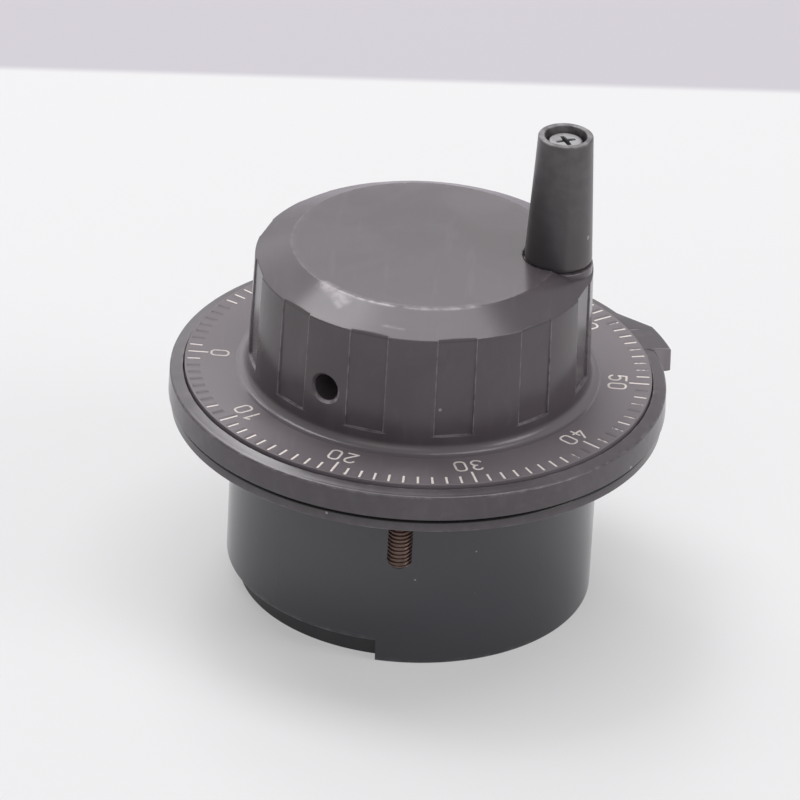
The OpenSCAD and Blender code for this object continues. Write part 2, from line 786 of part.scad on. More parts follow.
// Thin disc with one light slot for each division
module code_disc() {
    color("#9c9ea1") difference() {
        ring(disc_r, shaft_r + 1.1, disc_z, disc_t);
        for (i = [0:divisions - 1]) rotate(i * 360 / divisions)
            translate([disc_r - 0.8 - slot_l, -0.25, disc_z - past])
            cube([slot_l, 0.5, disc_t + 2 * past]);
    }
}

module code_disc_hub() {
    color("#a9acb0") difference() {
        union() {
            translate([0, 0, disc_hub_z]) cylinder(r = shaft_r + 4, h = disc_seat_t);
            translate([0, 0, disc_hub_z]) cylinder(r = shaft_r + 1.1 - seat, h = disc_hub_t);
            ring(shaft_r + 2.6, shaft_r + 0.5, disc_z + disc_t, disc_hub_t - disc_seat_t - disc_t);
        }
        translate([0, 0, disc_hub_z - past])
            cylinder(r = shaft_r + seat, h = disc_hub_t + 2 * past);
    }
}

// Tapered grip with rounded ends, bored for its sleeve and recessed for the screw's head
module crank_grip() {
    foot_edge = 0.6;
    top_edge = 0.25;
    color("#4e4c4f") translate([crank_r, 0, grip_z]) difference() {
        rotate_extrude() polygon(concat(
            [[sleeve_r + run, 0], [grip_foot_r - foot_edge, 0]],
            [for (a = [-60, -30, 0]) [grip_foot_r - foot_edge + foot_edge * cos(a),
                foot_edge + foot_edge * sin(a)]],
            [for (a = [0, 45, 90]) [grip_top_r - top_edge + top_edge * cos(a),
                grip_l - top_edge + top_edge * sin(a)]],
            [[sleeve_r + run, grip_l]]
        ));
        translate([0, 0, grip_l - recess_deep]) cylinder(r = recess_r, h = recess_deep + past);
    }
}

mounting_flange();
mounting_studs();
bezel_ring();
bezel_screws();
body_shell();
bearing_carrier();
case_screws();
front_bearing_outer();
rear_bearing_outer();
pole_pieces();
detent_magnets();
encoder_board();
light_source();
photo_sensor();
board_spacers();
board_screws();
terminal_block();
terminal_screws();
rear_cover();
cover_screws();
front_bearing_inner();
rear_bearing_inner();
bearing_spacer();
shaft();
shaft_nut();
hub_insert();
set_screws();
knob();
dial_plate();
dial_screws();
grip_insert();
grip_sleeve();
grip_screw();
detent_rotor();
code_disc();
code_disc_hub();
front_ball_cage();
front_balls();
rear_ball_cage();
rear_balls();
crank_grip();
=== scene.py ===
import json
import math

import bpy
import numpy as np
from mathutils import Matrix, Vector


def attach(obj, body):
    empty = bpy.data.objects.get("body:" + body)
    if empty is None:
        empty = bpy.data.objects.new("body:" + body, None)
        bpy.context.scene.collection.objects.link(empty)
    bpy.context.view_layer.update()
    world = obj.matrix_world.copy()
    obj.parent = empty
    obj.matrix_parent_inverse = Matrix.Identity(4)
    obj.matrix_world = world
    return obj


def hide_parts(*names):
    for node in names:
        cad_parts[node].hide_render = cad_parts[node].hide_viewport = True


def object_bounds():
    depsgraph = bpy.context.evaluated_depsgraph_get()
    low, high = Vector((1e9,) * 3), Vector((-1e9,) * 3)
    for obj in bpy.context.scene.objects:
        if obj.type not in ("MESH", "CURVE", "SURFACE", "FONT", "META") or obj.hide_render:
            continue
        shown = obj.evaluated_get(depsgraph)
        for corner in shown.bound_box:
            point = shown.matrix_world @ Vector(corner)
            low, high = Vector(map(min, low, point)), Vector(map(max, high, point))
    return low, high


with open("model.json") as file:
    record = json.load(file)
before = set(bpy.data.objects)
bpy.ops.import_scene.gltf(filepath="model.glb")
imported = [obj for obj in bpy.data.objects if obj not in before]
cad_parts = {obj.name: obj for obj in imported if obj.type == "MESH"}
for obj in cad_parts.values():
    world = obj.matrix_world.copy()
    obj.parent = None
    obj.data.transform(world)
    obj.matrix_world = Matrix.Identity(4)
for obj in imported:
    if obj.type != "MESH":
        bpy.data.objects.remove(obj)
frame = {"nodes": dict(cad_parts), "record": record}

cadLow, cadHigh = [list(v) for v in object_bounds()]
nodes = frame["nodes"]
mm = 0.001
print("frame loaded:", len(nodes), "nodes")

# ---------- surfaces from whole arrays ----------


# Outline through corners (x, y, radius): each corner turns into an arc that touches both sides,
# with a support point on each side so that the flats stay flat in the shading
def rounded(corners, closed=False, steps=4):
    pts = np.array([c[:2] for c in corners], float)
    count = len(pts)
    out = []
    for i, (x, y, radius) in enumerate(corners):
        if radius == 0 or (not closed and i in (0, count - 1)):
            out.append(pts[i])
            continue
        a, b = pts[i - 1] - pts[i], pts[(i + 1) % count] - pts[i]
        a, b = a / np.linalg.norm(a), b / np.linalg.norm(b)
        half = 0.5 * math.acos(float(np.clip(a @ b, -1, 1)))
        reach = radius / math.tan(half)
        centre = pts[i] + (a + b) / np.linalg.norm(a + b) * radius / math.sin(half)
        share = np.linspace(0, 1, steps + 1)[:, None]
        arc = (pts[i] + a * reach - centre) * (1 - share) + (pts[i] + b * reach - centre) * share
        out.append(pts[i] + a * (reach + 0.4 * radius))
        out.extend(centre + arc / np.linalg.norm(arc, axis=1)[:, None] * radius)
        out.append(pts[i] + b * (reach + 0.4 * radius))
    return np.array(out)


# Faces over points[column, row, xyz]. Columns go anticlockwise round the axis, and rows go out along
# the underside, up the outer side and in again over the top, so that faces look outwards.
# loop closes the rows into a ring, poles are the points that close the two ends, and skip marks the cells
# that stay open.
def shell(points, marks=None, loop=False, poles=(None, None), skip=None):
    columns, rows = points.shape[:2]
    a, b = np.meshgrid(np.arange(columns), np.arange(rows if loop else rows - 1), indexing="ij")
    if skip is not None:
        keep = ~skip[: a.shape[0], : a.shape[1]]
        a, b = a[keep], b[keep]
    a, b = a.ravel(), b.ravel()
    c, d = (a + 1) % columns, (b + 1) % rows
    quads = np.stack([a * rows + b, c * rows + b, c * rows + d, a * rows + d], 1)
    verts = points.reshape(-1, 3)
    marks = {k: np.broadcast_to(v, (columns, rows)).ravel() for k, v in (marks or {}).items()}
    tris = np.zeros((0, 3), int)
    around = np.arange(columns)
    after = (around + 1) % columns
    for end, pole in enumerate(poles):
        if pole is None:
            continue
        top = np.full(columns, len(verts))
        verts = np.vstack([verts, [pole]])
        marks = {k: np.append(v, 0) for k, v in marks.items()}
        low = np.stack([top, after * rows, around * rows], 1)
        high = np.stack([around * rows + rows - 1, after * rows + rows - 1, top], 1)
        tris = np.vstack([tris, low if end == 0 else high])
    return {"verts": verts, "quads": quads, "tris": tris, "marks": marks}


# Points of a turned outline (radius, height) at each angle in degrees
def turned(outline, angles):
    turn = np.radians(angles)[:, None]
    r, z = outline[:, 0][None, :], outline[:, 1][None, :]
    return np.stack([r * np.cos(turn), r * np.sin(turn), z + 0 * turn], 2)


# Turns points about the axis by an angle in degrees, or by an angle for each column
def swung(points, angle):
    turn = np.radians(angle)
    x, y, z = points[..., 0], points[..., 1], points[..., 2]
    return np.stack([x * np.cos(turn) - y * np.sin(turn), x * np.sin(turn) + y * np.cos(turn), z], -1)


# Soft step from 0 to 1
def smooth(x):
    x = np.clip(x, 0, 1)
    return x * x * (3 - 2 * x)


# Mark that is full on a line and fades away from it over about the given width
def near(distance, width):
    return np.exp(-(distance / width) ** 2)


# One object from one or more shells in millimetres. It stays at the origin, and its place is in its mesh.
# It gets its slot's finish, unless it has a material of its own.
def makePiece(name, shells, body, slot, standsFor=(), material=None):
    verts = np.vstack([s["verts"] for s in shells])
    offsets = np.cumsum([0] + [len(s["verts"]) for s in shells[:-1]])
    faces = []
    for s, start in zip(shells, offsets):
        faces += (s["quads"] + start).tolist() + (s["tris"] + start).tolist()
    mesh = bpy.data.meshes.new(name)
    mesh.from_pydata((verts * mm).tolist(), [], faces)
    mesh.polygons.foreach_set("use_smooth", np.ones(len(faces), bool))
    for key in sorted({k for s in shells for k in s["marks"]}):
        values = np.concatenate([s["marks"].get(key, np.zeros(len(s["verts"]))) for s in shells])
        layer = mesh.attributes.new(name=key, type="FLOAT", domain="POINT")
        layer.data.foreach_set("value", values.astype(np.float32))
    mesh.update()
    piece = bpy.data.objects.new(name, mesh)
    bpy.context.scene.collection.objects.link(piece)
    mesh.materials.append(material or finish[slot])
    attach(piece, body)
    if standsFor:
        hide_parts(*standsFor)
    print("made", name, len(verts), "points")


# ---------- shared effects ----------


# Empty node group. Place is its vector input, and the other inputs are numbers with their usual values.
def newGroup(name, outputs, **numbers):
    group = bpy.data.node_groups.new(name, "ShaderNodeTree")
    group.interface.new_socket(name="Place", in_out="INPUT", socket_type="NodeSocketVector")
    for label, value in numbers.items():
        socket = group.interface.new_socket(name=label, in_out="INPUT", socket_type="NodeSocketFloat")
        socket.default_value = value
    for label in outputs:
        group.interface.new_socket(name=label, in_out="OUTPUT", socket_type="NodeSocketFloat")
    return group, group.nodes.new("NodeGroupInput"), group.nodes.new("NodeGroupOutput")


# A setting such as at2 is the value of input 2, and any other is a property of the node
def addNode(tree, kind, links=(), **settings):
    node = tree.nodes.new(kind)
    for key, value in settings.items():
        if key[2:].isdigit():
            node.inputs[int(key[2:])].default_value = value
        else:
            setattr(node, key, value)
    for socket, source in links:
        tree.links.new(source, node.inputs[socket])
    return node


# Gives a socket a number, a colour or another node's output
def feed(tree, socket, value):
    if isinstance(value, (int, float)):
        socket.default_value = value
    elif isinstance(value, tuple):
        socket.default_value = value + (1,)
    else:
        tree.links.new(value, socket)


def sums(tree, operation, first, second):
    node = addNode(tree, "ShaderNodeMath", operation=operation)
    feed(tree, node.inputs[0], first)
    feed(tree, node.inputs[1], second)
    return node.outputs[0]


def remap(tree, value, low, high, toLow=0.0, toHigh=1.0):
    node = addNode(tree, "ShaderNodeMapRange", [(0, value)], interpolation_type="SMOOTHSTEP",
                   at1=low, at2=high, at3=toLow, at4=toHigh)
    return node.outputs[0]


# Noise about a place, at a scale that is a number or a socket
def noise(tree, place, scale, detail=2):
    node = addNode(tree, "ShaderNodeTexNoise", [("Vector", place)], at3=detail)
    feed(tree, node.inputs["Scale"], scale)
    return node.outputs[0]


# Moulded grain: fine noise with a trace of coarser orange peel, as a height
def grainGroup():
    group, put, out = newGroup("mouldedGrain", ["Height"], Scale=2200.0)
    fine = noise(group, put.outputs[0], put.outputs[1], 3)
    coarse = noise(group, put.outputs[0], sums(group, "MULTIPLY", put.outputs[1], 0.22))
    mixed = sums(group, "ADD", sums(group, "MULTIPLY", fine, 0.7), sums(group, "MULTIPLY", coarse, 0.3))
    group.links.new(mixed, out.inputs[0])
    return group


# Handling marks: broad cloudy patches, with streaks across them where it was wiped
def smudgeGroup():
    group, put, out = newGroup("handlingMarks", ["Cloud", "Streak"], Scale=60.0)
    cloud = addNode(group, "ShaderNodeTexNoise", [("Vector", put.outputs[0]), ("Scale", put.outputs[1])])
    cloud.inputs["Detail"].default_value = 4
    cloud.inputs["Distortion"].default_value = 0.8
    group.links.new(remap(group, cloud.outputs[0], 0.38, 0.68), out.inputs[0])
    long = addNode(group, "ShaderNodeMapping", [("Vector", put.outputs[0])])
    long.inputs["Scale"].default_value = (9, 1.2, 3)
    long.inputs["Rotation"].default_value = (0.2, 0.5, 0.7)
    streak = noise(group, long.outputs[0], put.outputs[1], 5)
    group.links.new(remap(group, streak, 0.56, 0.74), out.inputs[1])
    return group


# Dust: small round specks in a few of the cells of a point lattice
def dustGroup():
    group, put, out = newGroup("dustSpecks", ["Speck"], Scale=420.0, Share=0.1)
    cell = addNode(group, "ShaderNodeTexVoronoi", [("Vector", put.outputs[0]), ("Scale", put.outputs[1])])
    chosen = addNode(group, "ShaderNodeSeparateColor", [(0, cell.outputs["Color"])])
    few = sums(group, "LESS_THAN", chosen.outputs[0], put.outputs[2])
    size = sums(group, "MULTIPLY", chosen.outputs[1], 0.16)
    within = sums(group, "LESS_THAN", cell.outputs["Distance"], size)
    group.links.new(sums(group, "MULTIPLY", few, within), out.inputs[0])
    return group


# Edge wear, which also carries painted highlights: the mark painted along edges, broken up by noise
def wearGroup():
    group, put, out = newGroup("edgeWearAndHighlight", ["Worn"], Edge=0.0, Amount=0.5)
    broken = sums(group, "SUBTRACT", noise(group, put.outputs[0], 520.0, 5), 0.75)
    wornAndLit = remap(group, sums(group, "ADD", broken, put.outputs[2]), 0.0, 0.42)
    group.links.new(sums(group, "MULTIPLY", wornAndLit, put.outputs[1]), out.inputs[0])
    return group


# Turned metal: rings of fine grooves about the axis, as a height
def toolingGroup():
    group, put, out = newGroup("toolingRings", ["Height"], Scale=900.0)
    parts = addNode(group, "ShaderNodeSeparateXYZ", [(0, put.outputs[0])])
    flat = addNode(group, "ShaderNodeCombineXYZ", [(0, parts.outputs[0]), (1, parts.outputs[1])])
    reach = addNode(group, "ShaderNodeVectorMath", [(0, flat.outputs[0])], operation="LENGTH")
    line = addNode(group, "ShaderNodeCombineXYZ", [(0, reach.outputs["Value"]), (2, parts.outputs[2])])
    group.links.new(noise(group, line.outputs[0], put.outputs[1], 4), out.inputs[0])
    return group


grain, smudge, dust, wearAndHighlight, tooling = grainGroup(), smudgeGroup(), dustGroup(), wearGroup(), toolingGroup()


def useGroup(tree, group, links=(), **values):
    node = tree.nodes.new("ShaderNodeGroup")
    node.node_tree = group
    for socket, source in links:
        tree.links.new(source, node.inputs[socket])
    for key, value in values.items():
        node.inputs[key].default_value = value
    return node


def mixColour(tree, share, first, second):
    node = addNode(tree, "ShaderNodeMix", data_type="RGBA")
    for socket, value in ((0, share), (6, first), (7, second)):
        feed(tree, node.inputs[socket], value)
    return node.outputs[2]


# Tone with a colour over it where a mark is high, up to the given amount
def tint(tree, tone, mark, amount, colour):
    return mixColour(tree, sums(tree, "MULTIPLY", mark, amount), tone, colour)


# The mark that a piece carries under this name
def markOf(tree, name):
    return addNode(tree, "ShaderNodeAttribute", attribute_name=name).outputs["Fac"]


# Sets the colour, and a height as relief with its strength and depth
def dress(tree, shader, tone, height, strength, depth):
    tree.links.new(tone, shader.inputs["Base Color"])
    relief = addNode(tree, "ShaderNodeBump", [("Height", height)])
    relief.inputs["Strength"].default_value = strength
    relief.inputs["Distance"].default_value = depth
    tree.links.new(relief.outputs[0], shader.inputs["Normal"])


# Roughness that runs from the first to the second number with a mark
def vary(tree, shader, mark, rough):
    tree.links.new(remap(tree, mark, 0, 1, *rough), shader.inputs["Roughness"])


def newMaterial(name):
    material = bpy.data.materials.new(name)
    material.use_nodes = True
    tree = material.node_tree
    place = tree.nodes.new("ShaderNodeTexCoord").outputs["Object"]
    return material, tree, tree.nodes["Principled BSDF"], place


# Moulded plastic: cloudy colour, grain, smudges that change the gloss, dust and pale worn edges, which on the
# knob also paint highlights.
# Where a foot colour is given, a first mark shows as that colour, and a second mark shows as near-black
# painted shade.
def plastic(name, colour, cloudColour, rough=(0.4, 0.55), bump=0.12, wearAndHighlightColour=(0.3, 0.29, 0.29),
            wearAndHighlightAmount=0.0, dustShare=0.05, streaks=0.12, mottle=0.0, foot=None, specular=0.5):
    material, tree, shader, place = newMaterial(name)
    cloud, streak = useGroup(tree, smudge, [("Place", place)], Scale=55.0).outputs
    tone = mixColour(tree, cloud, colour, cloudColour)
    pale = tuple(c * 1.6 + 0.02 for c in colour)
    tone = tint(tree, tone, streak, streaks, pale)
    # the foot colour: painted light on the knob's foot, a painted dark reflection on the grip, a painted
    # highlight and the index line's fill on the bezel
    if foot:
        tone = mixColour(tree, markOf(tree, "foot"), tone, foot)
    if mottle:
        blotch = noise(tree, place, 420.0, 4)
        tone = tint(tree, tone, remap(tree, blotch, 0.45, 0.72), mottle, pale)
    if foot:
        # painted shade: near-black in the joints between parts and under the knob's chamfer
        tone = tint(tree, tone, markOf(tree, "grime"), 0.9, (0.008, 0.007, 0.008))
    specks = useGroup(tree, dust, [("Place", place)], Share=dustShare)
    tone = tint(tree, tone, specks.outputs[0], 0.5, (0.42, 0.41, 0.4))
    if wearAndHighlightAmount:
        wornAndLit = useGroup(tree, wearAndHighlight, [("Edge", markOf(tree, "edge")), ("Place", place)], Amount=wearAndHighlightAmount)
        tone = mixColour(tree, wornAndLit.outputs[0], tone, wearAndHighlightColour)
    height = useGroup(tree, grain, [("Place", place)])
    dress(tree, shader, tone, height.outputs[0], bump, 0.00004)
    vary(tree, shader, cloud, rough)
    shader.inputs["Specular IOR Level"].default_value = specular
    return material


# Metal: turning rings or a plated, slightly stained skin
def metal(name, colour, stain, rough=(0.25, 0.45), rings=900.0, metallic=1.0):
    material, tree, shader, place = newMaterial(name)
    cloud, streak = useGroup(tree, smudge, [("Place", place)], Scale=160.0).outputs
    tone = tint(tree, colour, cloud, 0.6, stain)
    height = useGroup(tree, tooling, [("Place", place)], Scale=rings)
    dress(tree, shader, tone, height.outputs[0], 0.2, 0.00003)
    vary(tree, shader, streak, rough)
    shader.inputs["Metallic"].default_value = metallic
    return material


# Dial black, with cream paint where the mark "paint" is high and has not been rubbed out
def painted(name, ground, cloudColour, paint, rough):
    material, tree, shader, place = newMaterial(name)
    cloud, streak = useGroup(tree, smudge, [("Place", place)], Scale=50.0).outputs
    tone = mixColour(tree, cloud, ground, cloudColour)
    tone = tint(tree, tone, streak, 0.12, tuple(c * 1.6 + 0.02 for c in ground))
    specks = useGroup(tree, dust, [("Place", place)], Share=0.06)
    tone = tint(tree, tone, specks.outputs[0], 0.6, (0.5, 0.48, 0.46))
    # painted shade in the engraved grooves
    tone = tint(tree, tone, markOf(tree, "groove"), 0.35, (0.03, 0.028, 0.03))
    chips = sums(tree, "MULTIPLY", noise(tree, place, 1500.0, 3), 0.55)
    left = sums(tree, "SUBTRACT", markOf(tree, "paint"), chips)
    tone = mixColour(tree, remap(tree, left, 0.1, 0.3), tone, paint)
    height = useGroup(tree, grain, [("Place", place)], Scale=2600.0)
    dress(tree, shader, tone, height.outputs[0], 0.1, 0.00003)
    vary(tree, shader, cloud, rough)
    return material


# Circuit board: solder mask with tracks in a slanting lattice and pale weave showing through
def board(name):
    material, tree, shader, place = newMaterial(name)
    turn = addNode(tree, "ShaderNodeMapping", [("Vector", place)])
    turn.inputs["Rotation"].default_value = (0, 0, 0.785)
    track = addNode(tree, "ShaderNodeTexBrick", [("Vector", turn.outputs[0])])
    for socket, value in (("Scale", 320), ("Mortar Size", 0.05), ("Color1", (0.01, 0.1, 0.04)),
                          ("Color2", (0.012, 0.085, 0.035)), ("Mortar", (0.02, 0.17, 0.07))):
        feed(tree, track.inputs[socket], value)
    weave = useGroup(tree, grain, [("Place", place)], Scale=900.0)
    tone = tint(tree, track.outputs[0], weave.outputs[0], 0.35, (0.03, 0.16, 0.07))
    dress(tree, shader, tone, track.outputs["Fac"], 0.3, 0.00004)
    shader.inputs["Roughness"].default_value = 0.32
    return material


cream = (0.80, 0.74, 0.70)
finish = {
    "black_casing": plastic("casingBlack", (0.0300, 0.0285, 0.0358), (0.0308, 0.0292, 0.0366),
                            (0.138, 0.148), bump=0.02, wearAndHighlightColour=(0.18, 0.18, 0.19), wearAndHighlightAmount=0.4,
                            streaks=0.008, specular=0.75),
    # its foot colour paints the lug's highlight and fills the index line
    "bezel_black": plastic("bezelBlack", (0.072, 0.062, 0.068), (0.085, 0.074, 0.081), (0.20, 0.26),
                           bump=0.06, wearAndHighlightColour=(0.30, 0.28, 0.29), wearAndHighlightAmount=0.35, dustShare=0.06,
                           mottle=0.2, foot=(0.24, 0.215, 0.225)),
    "dial_black": painted("dialBlack", (0.140, 0.121, 0.130), (0.160, 0.140, 0.150), cream, (0.42, 0.56)),
    # its foot colour paints light on the knob's foot, and its worn colour also paints the crease and lip
    # highlights
    "knob_plastic": plastic("knobPlastic", (0.073, 0.061, 0.067), (0.086, 0.072, 0.080), (0.20, 0.26),
                            bump=0.02, wearAndHighlightColour=(0.42, 0.38, 0.40), wearAndHighlightAmount=0.5, streaks=0.16,
                            foot=(0.145, 0.127, 0.135)),
    # its foot colour paints a dark reflection on the grip
    "grip_plastic": plastic("gripPlastic", (0.069, 0.062, 0.065), (0.080, 0.072, 0.076), (0.285, 0.35),
                            wearAndHighlightColour=(0.24, 0.235, 0.235), wearAndHighlightAmount=0.45, dustShare=0.02,
                            foot=(0.034, 0.031, 0.033)),
    "cover_plastic": plastic("coverPlastic", (0.030, 0.030, 0.033), (0.040, 0.040, 0.043), (0.42, 0.56)),
    "terminal_green": plastic("terminalGreen", (0.016, 0.15, 0.06), (0.02, 0.18, 0.075), (0.38, 0.5)),
    "chip_black": plastic("chipBlack", (0.02, 0.02, 0.022), (0.028, 0.028, 0.03), (0.45, 0.6),
                          dustShare=0.02),
    "magnet_dark": metal("magnetDark", (0.11, 0.11, 0.12), (0.07, 0.07, 0.07), (0.4, 0.6), metallic=0.6),
    "stud_copper": metal("studCopper", (0.18, 0.126, 0.108), (0.085, 0.062, 0.054), (0.34, 0.55),
                         rings=500.0),
    "zinc_screw": metal("zincScrew", (0.62, 0.62, 0.63), (0.42, 0.42, 0.43), (0.3, 0.5)),
    "bearing_steel": metal("bearingSteel", (0.72, 0.73, 0.75), (0.6, 0.6, 0.62), (0.14, 0.28)),
    "turned_steel": metal("turnedSteel", (0.6, 0.61, 0.63), (0.46, 0.46, 0.48), (0.26, 0.4)),
    "turned_brass": metal("turnedBrass", (0.66, 0.48, 0.2), (0.42, 0.29, 0.12), (0.26, 0.42)),
    "cast_alloy": metal("castAlloy", (0.5, 0.51, 0.53), (0.38, 0.39, 0.4), (0.42, 0.6), rings=300.0),
    "board_green": board("boardGreen"),
}
slotOf = {part["node"]: part["material_slot"] for part in frame["record"]["subparts"]}
print("materials made:", len(finish))

# ---------- knob ----------

knob = {"footR": 27.85, "topR": 27.3, "foot": 7.5, "sunk": 0.06, "fillet": 1.5, "coneFoot": 9.0, "rim": 27.4,
        "creaseR": 21.5, "crease": 30.1, "dish": 0.5, "flutes": 12, "halfFlute": 3.1, "ledge": 10.35,
        "floorFoot": 27.3, "floorTop": 26.95, "padAt": 21.5, "padR": 5.62, "padTop": 29.2, "padFoot": 24.2,
        "holes": (120, 240), "holeR": 2.15, "holeZ": 15.8, "holeDeep": 6.0, "windowHalf": 3.6,
        "windowAngle": 7.2, "lip": [(2.6, 0.01), (2.5, 0.07), (2.36, 0.2), (2.24, 0.32)],
        # painted light: the height over which the foot is painted paler, then the angle and half width of the
        # crease's painted highlight
        "litFootHigh": 1.9, "highlightAt": -98, "highlightHalf": 38,
        "scuffs": [((-15.2, -15.4, 30.0), (-11.4, -19.4, 29.5), 1.5, 0.75),
                   ((-13.6, -18.2, 29.5), (-12.2, -20.6, 28.9), 0.8, 0.55),
                   ((-5.0, -24.7, 28.4), (-1.6, -25.4, 28.2), 0.35, 0.5)]}


# Radius of the knob's side, a straight cone between foot and rim
def sideRadius(k, z):
    return k["footR"] + (k["topR"] - k["footR"]) * (z - k["coneFoot"]) / (k["rim"] - k["coneFoot"])


# Outline of the knob without its flutes. Its top is a parabola:
# height = crease - dish * (1 - (radius / crease radius) squared)
def knobOutline(k):
    foot = k["footR"] + k["fillet"]
    turn = np.radians(np.linspace(-90, -180, 12))
    low = k["foot"] - k["sunk"]
    bottom = np.array([[6.0, low], [foot - 0.8, low], [foot + 0.7, low], [foot + 0.7, low + 0.03],
                       [foot + 0.65, k["foot"] - 0.004], [foot + 0.3, k["foot"] + 0.001]])
    fillet = np.stack([foot + k["fillet"] * np.cos(turn),
                       k["foot"] + k["fillet"] + k["fillet"] * np.sin(turn)], 1)
    # rows crowd at the flutes' ledge and stand evenly over the window for the access holes
    ledge = k["ledge"] + np.array([-1.05, -0.65, -0.3, -0.1, -0.04, -0.01, 0.02, 0.05, 0.15, 0.45])
    start, stop = k["holeZ"] - k["windowHalf"], k["holeZ"] + k["windowHalf"]
    z = np.concatenate([ledge, np.linspace(start - 0.8, start, 3)[:-1], np.linspace(start, stop, 9),
                        np.linspace(stop, k["rim"] - 0.8, 8)[1:], [k["rim"] - 0.45]])
    side = np.stack([sideRadius(k, z), z], 1)
    edge = rounded([(k["topR"] + 0.02, k["rim"] - 0.5, 0), (k["topR"], k["rim"], 0.22),
                    (k["creaseR"], k["crease"], 0.3), (k["creaseR"] - 1.2, k["crease"] - 0.055, 0)])
    share = np.linspace(0, 1, 26)[1:-1][:, None]
    band = edge[7] * (1 - share) + edge[8] * share
    r = np.concatenate([np.linspace(k["creaseR"] - 1.2, 15.4, 28)[1:], np.linspace(15.4, 1.2, 14)[1:]])
    dish = np.stack([r, k["crease"] - k["dish"] * (1 - (r / k["creaseR"]) ** 2)], 1)
    return np.vstack([bottom, fillet, side, edge[1:8], band, edge[8:], dish])


# Columns of one twelfth of the knob. Inside a flute, and at its walls, a column keeps its distance from
# the flute's middle plane; on the land it keeps its share of the angle up to the next sector. Columns crowd
# at the walls, and are dense where the top is let down.
def knobColumns(k, dense):
    half = k["halfFlute"]
    y = [0, 1.1, 2.2, half - 0.12, half - 0.05, half - 0.015, half + 0.03, half + 0.09, half + 0.2]
    y = sorted(set(y + (np.linspace(0.15, 2.9, 14).tolist() if dense else [])))
    share = np.linspace(0, 1, 22 if dense else 9)[1:]
    down = [("land", -s) for s in share[::-1][1:]] + [("flute", -v) for v in y[::-1][:-1]]
    return down + [("flute", v) for v in y] + [("land", s) for s in share]


# Scuffs and short scratches: each is a soft band about a straight stroke between two points, full on the
# stroke and gone at its half width, which a point's distance to the stroke decides
def scuffMarks(k, points):
    out = np.zeros(points.shape[:2])
    for start, end, half, strength in k["scuffs"]:
        start, end = np.array(start, float), np.array(end, float)
        along = end - start
        share = np.clip(((points - start) @ along) / (along @ along), 0, 1)
        away = np.linalg.norm(points - start - share[..., None] * along, axis=2)
        out = np.maximum(out, strength * smooth((half - away) / half))
    return out


def knobSurface(k):
    outline = knobOutline(k)
    r, z = outline[:, 0], outline[:, 1]
    half, ledge = k["halfFlute"], k["ledge"]
    floor = k["floorFoot"] + (k["floorTop"] - k["floorFoot"]) * (z - ledge) / (k["rim"] - ledge)
    # nearer to the axis than 20 mm the columns run straight to the middle
    wide = np.maximum(r, 20.0)
    edgeAngle = np.degrees(np.arcsin((half + 0.2) / wide))
    sector = 360 / k["flutes"]
    columns, edges, inFlute = [], [], []
    for s in range(k["flutes"]):
        for kind, value in knobColumns(k, s in (0, k["flutes"] - 1)):
            if kind == "flute":
                angle = np.degrees(np.arcsin(value / wide))
                away = np.full_like(r, abs(value))
            else:
                angle = np.sign(value) * (edgeAngle + abs(value) * (sector / 2 - edgeAngle))
                away = np.full_like(r, 9.0)
            full = np.stack([r * np.cos(np.radians(angle)), r * np.sin(np.radians(angle))], 1)
            sunk = smooth((half + 0.03 - away) / 0.08) * smooth((z - ledge + 0.04) / 0.09)
            x = full[:, 0] - sunk * np.maximum(0, full[:, 0] - floor)
            turn = (s + 0.5) * sector
            columns.append(swung(np.stack([x, full[:, 1], z], 1), turn))
            wall = near(abs(value) - half - 0.06, 0.08) * (z > ledge - 0.05) * (z < k["rim"])
            edges.append((kind == "flute") * np.maximum(wall, 0.9 * near(z - ledge - 0.01, 0.05)))
            inFlute.append(kind == "flute")
    points = np.array(columns)
    # the crank's seat: inside its circle the top is let down to the pad
    away = np.hypot(points[..., 0] - k["padAt"], points[..., 1])
    let = smooth((k["padR"] + 0.07 - away) / 0.12) * (z[None, :] > 27)
    points[..., 2] -= let * np.maximum(0, points[..., 2] - k["padTop"] + 0.05)
    crease = near(r - k["creaseR"], 0.2) * (z > k["padTop"] - 0.2)
    # the crease has a faint edge mark all round, and a painted highlight on the front, the side facing the
    # camera
    about = np.degrees(np.arctan2(points[:, 40, 1], points[:, 40, 0]))
    creaseHighlight = 0.1 + smooth((k["highlightHalf"] - np.abs(about - k["highlightAt"])) / 10)
    scuffs = scuffMarks(k, points) * (z > k["foot"] + 2)[None, :]
    marks = np.maximum(0.45 * np.array(edges), creaseHighlight[:, None] * crease[None, :])
    # painted shade at the top of the flutes, right under the chamfer
    paintedShadeBand = 0.55 * near(z - k["rim"] + 0.27, 0.13)[None, :] * np.array(inFlute)[:, None]
    marks = {"edge": np.maximum(marks, scuffs), "grime": paintedShadeBand,
             # painted light: the foot and its upward-facing fillet are painted paler, fading out over the
             # given height
             "foot": smooth((k["foot"] + k["litFootHigh"] - z) / k["litFootHigh"])[None, :]}
    return points, marks, outline


